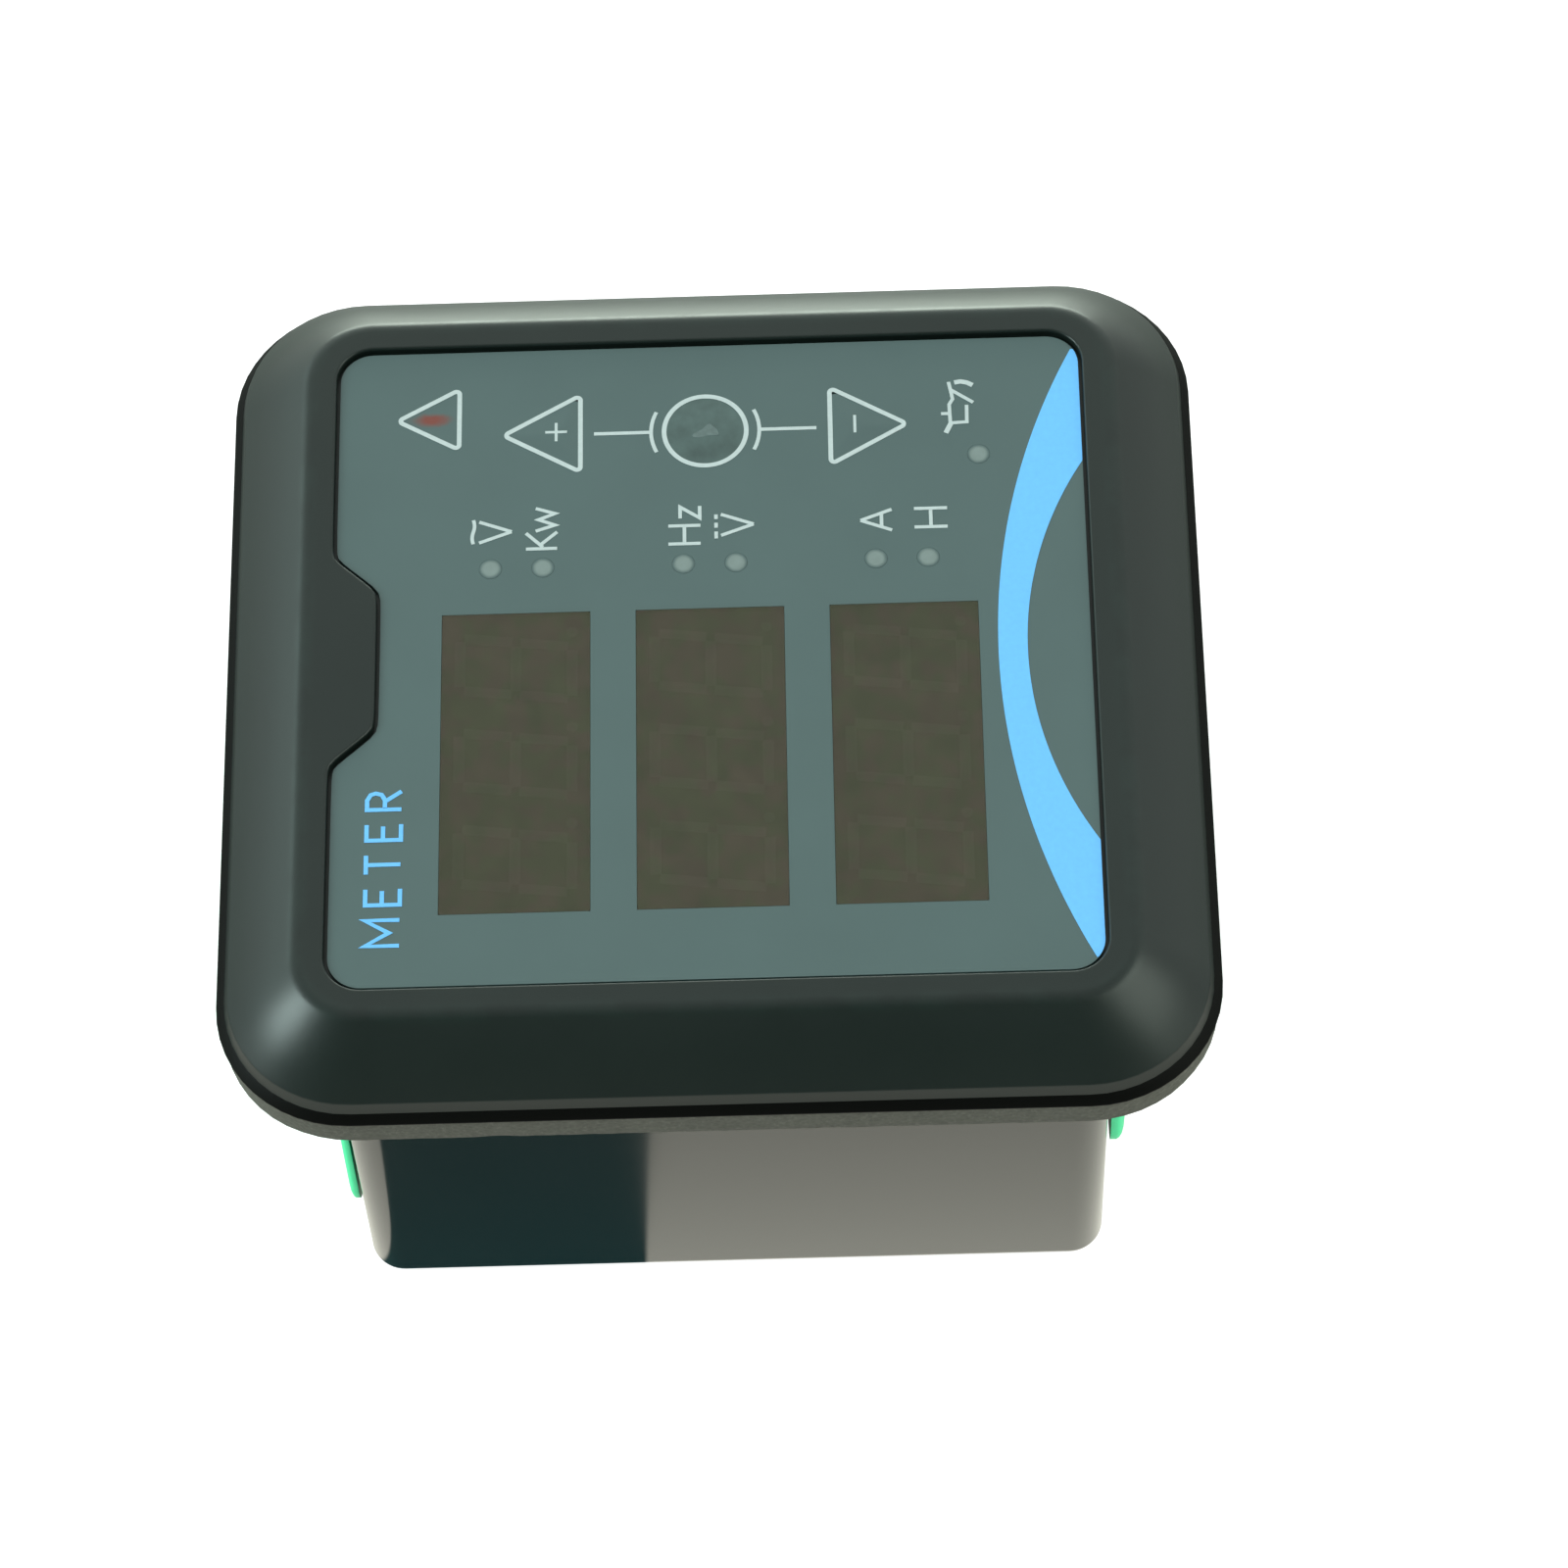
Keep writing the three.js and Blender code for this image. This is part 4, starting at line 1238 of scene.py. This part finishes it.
@dataclass
class Display:
    """The film, its smoked windows, the display modules behind them and the lamps."""

    palette: Palette
    digit: tuple[float, float] = (5.2, 9.6)
    digit_pitch: float = 9.4
    slant: float = 0.12
    bar_width: float = 0.95
    bar_gap: float = 0.35
    point_radius: float = 0.5
    segments_below: tuple[float, float] = (0.7, 0.47)
    window_gap: float = 0.03
    key_seam: float = 0.12
    lamp_hole: float = 0.99
    lamp_tip: float = 0.97
    lamp_body: float = 1.4
    lamp_neck: float = 49.9

    def build(self) -> None:
        """Makes the film, then each window with its module, then the lamps."""
        self._film()
        for name, y in FACE.windows():
            self._window(name, y)
            self._module(name, y)
        for name, (x, y) in FACE.lamps().items():
            self._lamp(name, x, y)

    def _film(self) -> None:
        """The printed film, cut out for the tab, windows, keys and lamps."""
        top = FACE.top
        sheet = mesh_object("film_sheet", plate(FACE.opening(-FACE.film_gap), top - FACE.film, top))
        half_x, half_y = FACE.window_half
        low, high, left, right = top - 1, top + 1, FACE.window_x - half_x, FACE.window_x + half_x
        cutters = [block((left, y - half_y, low), (right, y + half_y, high)) for _, y in FACE.windows()]
        holes = [circle(x, y, self.lamp_hole, 32) for x, y in FACE.lamps().values()]
        holes += [outline(self.key_seam) for outline in KeyPad.outlines().values()]
        carve(sheet, cutters + [plate(hole, low, high) for hole in holes])
        dress(sheet, self.palette.film, replaces=("face_film",))

    def _window(self, name: str, y: float) -> None:
        """A smoked filter, flush with the film."""
        half_x, half_y = (half - self.window_gap for half in FACE.window_half)
        outline = rounded_rectangle(half_x, half_y, 0.15, 3) + [FACE.window_x, y]
        glass = mesh_object("window_" + name, plate(outline, FACE.top - FACE.film, FACE.top - 0.005))
        dress(glass, self.palette.filter, replaces=("display_filter_" + name,))

    def _module(self, name: str, y: float) -> None:
        """A display module: its housing, and the unlit segments of three digits on its face."""
        node = "display_module_" + name
        housing = copy_of_node(FRAME_NODES[node], "module_" + name)
        soften(housing, 0.25)
        dress(housing, self.palette.display, replaces=(node,))
        low, high = (FACE.top - below for below in self.segments_below)
        solids = []
        for place in (-1, 0, 1):
            solids += self._digit(FACE.window_x + place * self.digit_pitch, y, low, high)
        dress(mesh_object("segments_" + name, Solid.joined(solids)), self.palette.segment)

    def _digit(self, x: float, y: float, low: float, high: float) -> list[Solid]:
        """Seven segments and a point, leaning to the right by a shear."""
        width, height = self.digit
        w, h, gap = width / 2, height / 2, self.bar_gap
        bars = [
            [(-w + gap, h), (w - gap, h)], [(-w + gap, 0), (w - gap, 0)], [(-w + gap, -h), (w - gap, -h)],
            [(-w, gap), (-w, h - gap)], [(w, gap), (w, h - gap)],
            [(-w, -h + gap), (-w, -gap)], [(w, -h + gap), (w, -gap)],
        ]
        solids = []
        for bar in bars:
            points = np.array(bar)
            points[:, 0] += points[:, 1] * self.slant
            solids.append(ribbon(points + [x, y], self.bar_width, low, high))
        solids.append(plate(circle(x + w + 0.9, y - h, self.point_radius, 20), low, high))
        return solids

    def _lamp(self, name: str, x: float, y: float) -> None:
        """A lamp: a light pipe whose round tip stands level with the film."""
        base, rise, bevel = FRAME_LOW["lamp_" + name], 0.02, 0.1
        neck, tip, wide = self.lamp_neck, self.lamp_tip, self.lamp_body
        bend = np.linspace(0, math.pi / 2, 7)
        dome = np.stack([tip * np.cos(bend), FACE.top + 0.001 + rise * np.sin(bend)], -1)
        body = [[wide - bevel, base], [wide, base + bevel], [wide, neck - bevel], [wide - bevel, neck]]
        solid = lathe(np.vstack([body, [[tip, neck]], dome]), 32, x, y)
        lens = LampLens("lamp_lens_" + name, Palette.FILM, (0.185, 0.239, 0.227), x, y).material()
        dress(mesh_object("lens_" + name, solid), lens, replaces=("lamp_" + name,))


@dataclass
class RearCase:
    """The deep case behind the panel, the gasket and the corner screws."""

    palette: Palette
    rear: float = 0.012
    rear_half: tuple[float, float] = (32.95, 32.85)
    front_half: tuple[float, float] = (33.1, 33.3)
    rear_corner: float = 3.0
    front_corner: float = 3.8
    edge: float = 1.3
    height: float = 50.0
    wall: float = 2.6
    inside: tuple[float, float] = (30.8, 30.0)
    screw_at: tuple[float, float] = (28.0, 27.2)
    slot_x: float = 16.0
    slot_head: tuple[float, float, float] = (2.75, 30.9, 32.2)
    slot_neck: tuple[float, float, float] = (1.6, 32.1, 35.0)
    screw_bore: float = 2.7

    def build(self) -> None:
        """Makes the shell, the columns in its corners, the gasket and the screws."""
        self._shell()
        self._columns()
        self._gasket()
        for number, (x, y) in enumerate(self.corners(), 1):
            self._screw(number, x, y)

    def corners(self) -> list[tuple[float, float]]:
        """The screws' places, in the order of their CAD nodes."""
        x, y = self.screw_at
        return [(sx * x, sy * y) for sx in (-1, 1) for sy in (-1, 1)]

    def _shell(self) -> None:
        """The case: an outside that widens with its draft, an open inside, and its cut-outs."""
        turn = np.linspace(0, math.pi / 2, 9)
        insets = self.edge * (1 - np.sin(turn))
        heights = self.rear + self.edge * (1 - np.cos(turn))
        half_x, half_y = self.rear_half
        rings = [rounded_rectangle(half_x - i, half_y - i, self.rear_corner - 0.8 * i) for i in insets]
        rings.append(rounded_rectangle(*self.front_half, self.front_corner))
        levels = np.append(heights, self.height)
        inner = rounded_rectangle(*self.inside, 2.0)
        rings += [inner, inner, inner * [0.97, 0.97]]
        levels = np.append(levels, [self.height, self.wall + 0.9, self.wall])
        case = mesh_object("case_shell", loft(rings, levels))
        carve(case, self._cutters())
        soften(case, 0.18, 2, 50)
        dress(case, self.palette.case, replaces=("rear_case",), angle=40)

    def _cutters(self) -> list[Solid]:
        """What is cut out of the case: T slots, terminal windows, screw bores, label recess.

        A T slot's head and neck are each half a width, and how far out they start and end.
        """
        cutters = [plate(circle(x, y, self.screw_bore, 40), -1, self.wall + 1) for x, y in self.corners()]
        parts = ((self.slot_head, -1, 42.6), (self.slot_neck, -1.1, 42.5))
        for x in (-self.slot_x, self.slot_x):
            for side in (-1, 1):
                for (half, start, end), low, high in parts:
                    near, far = sorted((side * start, side * end))
                    cutters.append(block((x - half, near, low), (x + half, far, high)))
        for plug in Terminals.PLUGS.values():
            cutters.append(block((-plug.half - 0.5, plug.y - 4.1, -1), (plug.half + 0.5, plug.y + 7.5, 4)))
        cutters.append(plate(rounded_rectangle(20, 3.5, 1, 6) + [0, -25.0], -1, 0.35))
        return cutters

    def _columns(self) -> None:
        """Hollow columns in the corners, which hold the screws well inside the case."""
        section = np.array([[2.7, 1.0], [3.1, 1.0], [3.1, 34.0], [1.35, 34.0], [1.35, 31.5], [2.7, 31.5]])
        tubes = []
        for x, y in self.corners():
            # The outside of a column stands a little nearer the middle than its bore.
            inward = -0.3 * np.sign([x, y])
            rings = [circle(x, y, r, 32) + (inward if r > 3 else 0.0) for r in section[:, 0]]
            tubes.append(frame_sweep(rings, section[:, 1]))
        dress(mesh_object("case_columns", Solid.joined(tubes)), self.palette.case)

    def _gasket(self) -> None:
        """The foam strip under the bezel's rim, with a ragged edge and a border that swells down."""
        top, seat, bottom = FACE.top - 6.4, FACE.top - 9.3, FACE.top - 9.9
        outer = FACE.ring(9.45)
        rng = np.random.default_rng(7)
        rough = np.convolve(np.tile(rng.normal(0, 0.06, len(outer)), 3), np.ones(3) / 3, "same")
        rough = rough[len(outer) : 2 * len(outer)]
        hole = rounded_rectangle(33.4, 33.85, 4.2, 12, FACE.side_shares())
        ragged = outer * (1 - np.abs(rough) / np.linalg.norm(outer, axis=1))[:, None]
        rings = [FACE.ring(6.4), FACE.ring(7.4), offset_line(outer, -0.3), ragged, outer]
        rings += [offset_line(outer, -0.2), hole, hole]
        heights = np.array([seat, bottom + 0.15, bottom, bottom + 0.3, top - 0.2, top, top, seat])
        strip = mesh_object("gasket_strip", frame_sweep(rings, heights))
        dress(strip, self.palette.foam, replaces=("panel_gasket",))

    def _screw(self, number: int, x: float, y: float) -> None:
        """A pan head screw seen from behind, with a cross recess and its thread."""
        low, seat, tip = 29.5, 31.4, 42.0
        turns = np.arange(seat + 0.6, tip - 0.6, 0.25)
        ridge = np.where(np.arange(len(turns)) % 2 == 0, 0.74, 0.9)
        thread = np.stack([ridge, turns], -1)
        head = [[0, low], [1.5, low + 0.05], [2.1, low + 0.35], [2.4, low + 0.9], [2.4, seat], [0.74, seat]]
        profile = np.vstack([head, thread, [[0.2, tip - 0.1], [0, tip]]])
        screw = mesh_object(f"screw_{number}", lathe(profile, 32, x, y))
        cross = ((1.3, 0.28), (0.28, 1.3))
        carve(screw, [block((x - a, y - b, low - 1), (x + a, y + b, low + 0.9)) for a, b in cross])
        dress(screw, self.palette.steel, replaces=(f"case_screw_{number}",))


@dataclass(frozen=True)
class PlugSize:
    """A terminal plug's number of ways, its height on the rear face and its first way's number."""

    ways: int
    y: float
    first: int
    pitch: float = 5.08

    @property
    def half(self) -> float:
        """Half its width."""
        return self.ways * self.pitch / 2

    def centres(self) -> Array:
        """The ways' places along X."""
        return (np.arange(self.ways) - (self.ways - 1) / 2) * self.pitch


@dataclass
class Terminals:
    """The plug-in terminals in the back, their metal parts, their numbers and the label."""

    palette: Palette
    PLUGS = {"power": PlugSize(8, 13.0, 1), "sensor": PlugSize(6, -13.0, 9)}

    def build(self) -> None:
        """Makes each header and plug, then the numbers and the label."""
        for name, plug in self.PLUGS.items():
            for part, body in (("header", HOUSING), ("plug", "plug_" + name)):
                node = f"terminal_{part}_{name}"
                piece = copy_of_node(FRAME_NODES[node], f"{part}_{name}")
                soften(piece, 0.15)
                dress(piece, self.palette.terminal, body, (node,))
            self._metal(name, plug)
        self._numbers()
        outline = rounded_rectangle(19.8, 3.3, 0.8, 6) + [0, -25.0]
        label = mesh_object("label_plate", plate(outline, 0.05, 0.3))
        dress(label, self.palette.label, replaces=("terminal_label",))

    def _metal(self, name: str, plug: PlugSize) -> None:
        """A clamp jaw in each wire entry and a slotted screw in each well."""
        y = plug.y
        jaws, screws, slots = [], [], []
        profile = np.array([[0, 0], [1.3, 0.0], [1.45, 0.12], [1.45, 1.0], [1.25, 1.25], [0, 1.3]])
        screw = lathe(profile, 24).turned(Matrix.Rotation(math.radians(-90), 4, "X"))
        for x in plug.centres():
            jaws.append(block((x - 1.45, y - 1.3, 5.9), (x + 1.45, y + 2.1, 6.9)))
            jaws.append(block((x - 1.5, y + 1.7, 2.2), (x + 1.5, y + 2.12, 6.0)))
            screws.append(screw.moved(x, y + 4.2, 5.3))
            slots.append(block((x - 1.6, y + 5.15, 5.12), (x + 1.6, y + 7.0, 5.48)))
        for kind, solids, cuts in (("jaws", jaws, []), ("clamp_screws", screws, slots)):
            piece = mesh_object(f"{kind}_{name}", Solid.joined(solids))
            if cuts:
                carve(piece, cuts)
            dress(piece, self.palette.steel, "plug_" + name)

    def _numbers(self) -> None:
        """Terminal numbers printed on the back, and rules and numbers on the label.

        Each line of a number lies a hair above the last, so that none coincide.
        """
        white, dark, layer = [], [], 0
        for plug in self.PLUGS.values():
            for place, x in enumerate(plug.centres()[::-1]):
                text = str(plug.first + place)
                right = x + 0.375 * len(text)
                for line in Lettering.lines(text, right, plug.y - 7.4, 1.9, 0.22, mirror=True):
                    layer += 1
                    white.append(ribbon(line, Stroke.SMALL.value, 0.011 - 0.0001 * layer, 0.05))
        dress(mesh_object("print_numbers", Solid.joined(white)), self.palette.white)
        low, high, half, fields = -26.6, -23.4, 18.6, 14
        for row in (low, high):
            dark.append(block((-half, row - 0.06, 0.044), (half, row + 0.06, 0.06)))
        for field in range(fields + 1):
            x = half - field * 2 * half / fields
            dark.append(block((x - 0.05, low, 0.0442), (x + 0.05, high, 0.0602)))
        for field in range(fields):
            text = str(field + 1)
            right = half - field * 2 * half / fields - 0.9 + 0.1 * len(text)
            for line in Lettering.lines(text, right, low + 1, 1.2, 0.2, mirror=True):
                layer += 1
                dark.append(ribbon(line, Stroke.LABEL.value, 0.0438 - 0.0001 * (layer % 17), 0.07))
        dress(mesh_object("print_label", Solid.joined(dark)), self.palette.dark)


@dataclass
class Clips:
    """The two green clips that hold the meter in its panel."""

    palette: Palette
    half_width: float = 29.2
    length: float = 26.0
    corner: float = 4.0
    inner: float = 33.4
    lip: float = 38.2

    def build(self) -> None:
        """Makes each clip from its crowned plate, its foot, its ribs and its rails."""
        for side, turn, thickness in (("top", 0.0, 1.0), ("bottom", math.pi, 1.35)):
            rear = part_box("panel_clip_" + side)[0].z / MM
            solids = [self._plate(rear, thickness)] + self._details(rear, thickness)
            base, *details = (solid.turned(Matrix.Rotation(turn, 4, "Z")) for solid in solids)
            piece = mesh_object("clip_plate_" + side, base)
            carve(piece, details, "UNION")
            soften(piece, 0.12, 2, 50)
            dress(piece, self.palette.clip, "clip_" + side, ("panel_clip_" + side,), 40)

    def _plate(self, rear: float, thickness: float) -> Solid:
        """The plate: level outlines in X and Z, drawn in as its outer side swells up along Y."""
        half = self.length / 2
        insets = (0, 0, 0.15, 0.45, 0.9, 1.6, 2.6)
        heights = np.array([0, 0.4, 0.6, 0.76, 0.88, 0.96, 1.0]) * thickness
        rings = [
            rounded_rectangle(self.half_width - inset, half - inset, self.corner - 0.7 * inset, 8)
            for inset in insets
        ]
        flat = loft(rings, heights)
        x, z, y = flat.points.T
        # Seen along Y the outline would turn the other way, so X is reversed as it stands up.
        return Solid(np.stack([-x, y + self.inner, z + rear + half], -1), flat.faces)

    def _details(self, rear: float, thickness: float) -> list[Solid]:
        """The foot at the front, the grip ribs outside, and the rails that run in the T slots."""
        front, face = rear + self.length, self.inner + thickness - 0.05
        solids = [block((-28.5, self.inner, front - 1.8), (28.5, self.lip, front))]
        ribs = rear + np.array([5, 8, 11, 14])
        solids += [block((-10, face - 0.3, low), (10, face + 0.38, low + 1.2)) for low in ribs]
        for x in (-RearCase.slot_x, RearCase.slot_x):
            low, high = rear + 2, front - 2.5
            solids.append(block((x - 1.4, 31.7, low), (x + 1.4, self.inner + 0.2, high)))
            solids.append(block((x - 2.55, 31.1, low - 0.01), (x + 2.55, 32.0, high + 0.01)))
        return solids


@dataclass
class Inside:
    """The boards and everything on them: softened copies of the CAD shapes."""

    palette: Palette

    def build(self) -> None:
        """Goes through the inner nodes, each with its finish and edge width."""
        p = self.palette
        chips = ("link_socket", "link_header", "microcontroller", "display_driver")
        blocks = ("current_transformer", "bridge_rectifier", "voltage_regulator", "fuse")
        kinds: list[tuple[bpy.types.Material, str, float, tuple[str, ...]]] = [
            (p.board, "board_laminate", 0.05, ("display_board", "main_board")),
            (p.nylon, "white_nylon", 0.2, tuple(f"board_spacer_{k}" for k in range(1, 5))),
            (p.chip, "chip_epoxy", 0.15, chips),
            (p.chip, "chip_epoxy", 0.3, blocks),
            (p.sleeve, "capacitor_sleeve", 0.15, ("filter_capacitor_large", "filter_capacitor_small")),
            (p.varistor, "varistor_coating", 0.9, ("surge_varistor",)),
            (p.winding, "winding_wire", 0.3, ("transformer_winding",)),
            (p.warning_lens, "lamp_lens", 0.1, ("lamp_warning",)),
        ]
        for material, slot, width, nodes in kinds:
            for node in nodes:
                self._piece(node, material, slot, width, HOUSING)
        for key in ("plus", "select", "minus"):
            self._piece("switch_body_" + key, p.chip, "chip_epoxy", 0.2, HOUSING)
            self._piece("switch_stem_" + key, p.nylon, "white_nylon", 0.15, "key_" + key)

    @staticmethod
    def _piece(node: str, material: bpy.types.Material, slot: str, width: float, body: str) -> None:
        """A softened copy of one node."""
        piece = copy_of_node(FRAME_NODES[node], node + ".fine")
        soften(piece, width)
        dress(piece, material, body, (node,))


# ------------------------------------------------------------------------------ studio


@dataclass
class Camera:
    """A long lens that looks at the face from its left side, 60 degrees above its plane.

    Attributes:
        lens: focal length in millimetres, on a sensor of the width given next.
        distance: how far the face's centre lies along the lens's axis.
        tilt: degrees off square about the picture's width, and yaw about its height.
        roll: degrees about the lens's axis.
        aside: how far the face's centre lies off that axis, right and down.
    """

    lens: float = 139.99
    sensor: float = 36.0
    distance: float = 520.2
    tilt: float = -29.94
    yaw: float = 0.89
    roll: float = -1.57
    aside: tuple[float, float] = (-6.11, -11.19)

    def build(self) -> None:
        """Turns face coordinates into the lens's own, and places the camera by the inverse."""
        turn = Matrix.Identity(3)
        for degrees, axis in ((self.roll, "Z"), (self.yaw, "Y"), (self.tilt, "X")):
            turn = turn @ Matrix.Rotation(math.radians(degrees), 3, axis)
        turn = turn @ Matrix(((0, -1, 0), (-1, 0, 0), (0, 0, -1)))
        away = Vector((*self.aside, self.distance))
        place = -(turn.transposed() @ away) + Vector((0, 0, FACE.top))
        data = bpy.data.cameras.new("camera")
        data.lens, data.sensor_width = self.lens, self.sensor
        data.clip_start, data.clip_end = 0.01, 20.0
        camera = linked("camera", data)
        # Blender's camera looks down its own -Z with +Y up, and this one down +Z with +Y down.
        facing = turn.transposed() @ Matrix.Diagonal((1, -1, -1))
        camera.matrix_world = Matrix.Translation(place * MM) @ facing.to_4x4()
        bpy.context.scene.camera = camera


@dataclass(frozen=True)
class Softbox:
    """An area light: where it stands, what it looks at, its size and how bright it is.

    A light that isn't mirrored lights the meter but makes no reflection in it.
    """

    name: str
    place: tuple[float, float, float]
    size: tuple[float, float]
    radiance: float
    mirrored: bool = True
    colour: Colour = (1.0, 1.0, 1.0)
    target: tuple[float, float, float] = (0.0, 0.0, 0.04)

    def build(self) -> None:
        """Makes the light and turns it to its target."""
        data = bpy.data.lights.new(self.name, "AREA")
        data.shape = "RECTANGLE"
        data.size, data.size_y = self.size
        data.energy = self.radiance * math.pi * self.size[0] * self.size[1]
        data.color = self.colour
        light = linked(self.name, data)
        light.visible_camera, light.visible_glossy = False, self.mirrored
        light.location = self.place
        aim = Vector(self.target) - Vector(self.place)
        light.rotation_euler = aim.to_track_quat("-Z", "Y").to_euler()


@dataclass
class Studio:
    """The floor, the lights and the world round the meter."""

    darkest: float = 0.06
    brightest: float = 1.0

    def build(self) -> None:
        """Sets the studio up."""
        scene = bpy.context.scene
        scene.view_settings.view_transform, scene.view_settings.look = "Standard", "None"
        scene.world = bpy.data.worlds.new("studio")
        scene.world.use_nodes = True
        self._sky(scene.world.node_tree)
        self._floor()
        self._mirrored_floor()
        green = (0.87, 1.0, 0.88)
        for light in (
            Softbox("overhead", (0.0, 0.0, 1.0), (0.8, 0.8), 1.62, False, (0.975, 0.985, 1.0)),
            Softbox("back", (1.1, 0.0, 0.15), (0.85, 0.26), 7.6, colour=green),
            Softbox("left_wall", (0.62, 1.0, 0.5), (1.0, 0.5), 1.55, colour=(0.73, 1.0, 0.95)),
            Softbox("left_corner", (-0.14, 0.75, 0.5), (0.32, 0.34), 14.0, colour=(0.8, 1.0, 0.97)),
            Softbox("right_corner", (-0.17, -0.66, 0.56), (0.6, 0.6), 2.6, colour=green),
        ):
            light.build()

    def _sky(self, tree: bpy.types.NodeTree) -> None:
        """A sky that brightens from the front of the studio, -X, to its back."""
        place = tree.nodes.new("ShaderNodeTexCoord")
        axes = tree.nodes.new("ShaderNodeSeparateXYZ")
        share = tree.nodes.new("ShaderNodeMapRange")
        tree.links.new(place.outputs["Generated"], axes.inputs[0])
        tree.links.new(axes.outputs["X"], share.inputs["Value"])
        limits = {"From Min": -0.5, "From Max": 1.0, "To Min": self.darkest, "To Max": self.brightest}
        for name, value in limits.items():
            share.inputs[name].default_value = value
        background = tree.nodes["Background"].inputs
        tree.links.new(share.outputs[0], background["Strength"])
        background["Color"].default_value = (0.95, 1.0, 0.97, 1.0)

    @staticmethod
    def _floor() -> None:
        """A pale floor just under the meter."""
        glow = {"Emission_Color": (1.0, 1.0, 1.0), "Emission_Strength": 0.9}
        shop = Workshop("floor_paper", Roughness=0.9, **glow)
        shop.feed("Base Color", shop.tint((0.4, 0.4, 0.4), shop.noise(60.0, 2.0), 0.98, 1.02))
        floor = mesh_object("floor", block((-2500, -2500, -1.05), (2500, 2500, -0.05)))
        floor.data.materials.append(shop.material)

    @staticmethod
    def _mirrored_floor() -> None:
        """The floor as the meter's gloss mirrors it, which nothing else sees.

        It is pale in front, apart from a dark cloth before the left half. It is dark beside the
        meter, and behind it brightens with the square of the distance, most of all in the middle.
        """
        strength = 8.0
        black = {"Base_Color": (0.0, 0.0, 0.0), "Roughness": 1.0}
        shop = Workshop("mirrored_paper", Emission_Strength=strength, **black)
        x, y = shop.axis("X"), shop.axis("Y")
        cloth = x.above(-66, 2) * y.above(8.2, 0.6) * (1 - (y + (x + 33) * 0.2).above(32.6, 0.6))
        tones = (
            ((1.0, 1.0, 0.87), 0.86), ((0.2, 0.95, 1.0), 0.08),
            ((0.9, 1.0, 0.9), 0.17), ((0.87, 1.0, 0.87), 8.0),
        )
        paper, dark, side, far = (
            tuple(share * level / strength for share in colour) for colour, level in tones
        )
        reach = ((x - 100) * 0.01).math("MAXIMUM", 0.0)
        middle = 1 - abs(y).above(75, 120) * 0.92
        back = reach * reach * middle * 0.14 + x.above(50, 50) * 0.03
        behind = x.above(-14, 38)
        front = shop.blend(cloth, paper, dark)
        shop.feed("Emission Color", shop.blend(behind, front, shop.blend(back, side, far)))
        sheet = mesh_object("mirrored_floor", block((-700, -700, -0.04), (900, 700, 0.01)))
        sheet.data.materials.append(shop.material)
        sheet.visible_camera = sheet.visible_diffuse = sheet.visible_shadow = False
        sheet.visible_transmission = sheet.visible_volume_scatter = False


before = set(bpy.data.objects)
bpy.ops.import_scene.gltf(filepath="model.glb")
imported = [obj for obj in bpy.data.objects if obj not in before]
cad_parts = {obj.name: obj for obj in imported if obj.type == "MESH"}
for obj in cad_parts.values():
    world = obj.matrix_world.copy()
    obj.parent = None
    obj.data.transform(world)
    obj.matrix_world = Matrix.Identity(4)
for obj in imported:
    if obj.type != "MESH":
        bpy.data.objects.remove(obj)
FRAME_NODES: dict[str, bpy.types.Object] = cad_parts
FRAME_LOW: dict[str, float] = {name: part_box(name)[0].z / MM for name in FRAME_NODES}


def main() -> None:
    """Builds the studio and the meter."""
    logging.basicConfig(level=logging.INFO, format="%(message)s")
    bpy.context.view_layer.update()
    Camera().build()
    Studio().build()
    palette = Palette()
    for assembly in (Bezel, KeyPad, Display, Printing, RearCase, Clips, Terminals, Inside):
        assembly(palette).build()


if __name__ == "__main__":
    main()
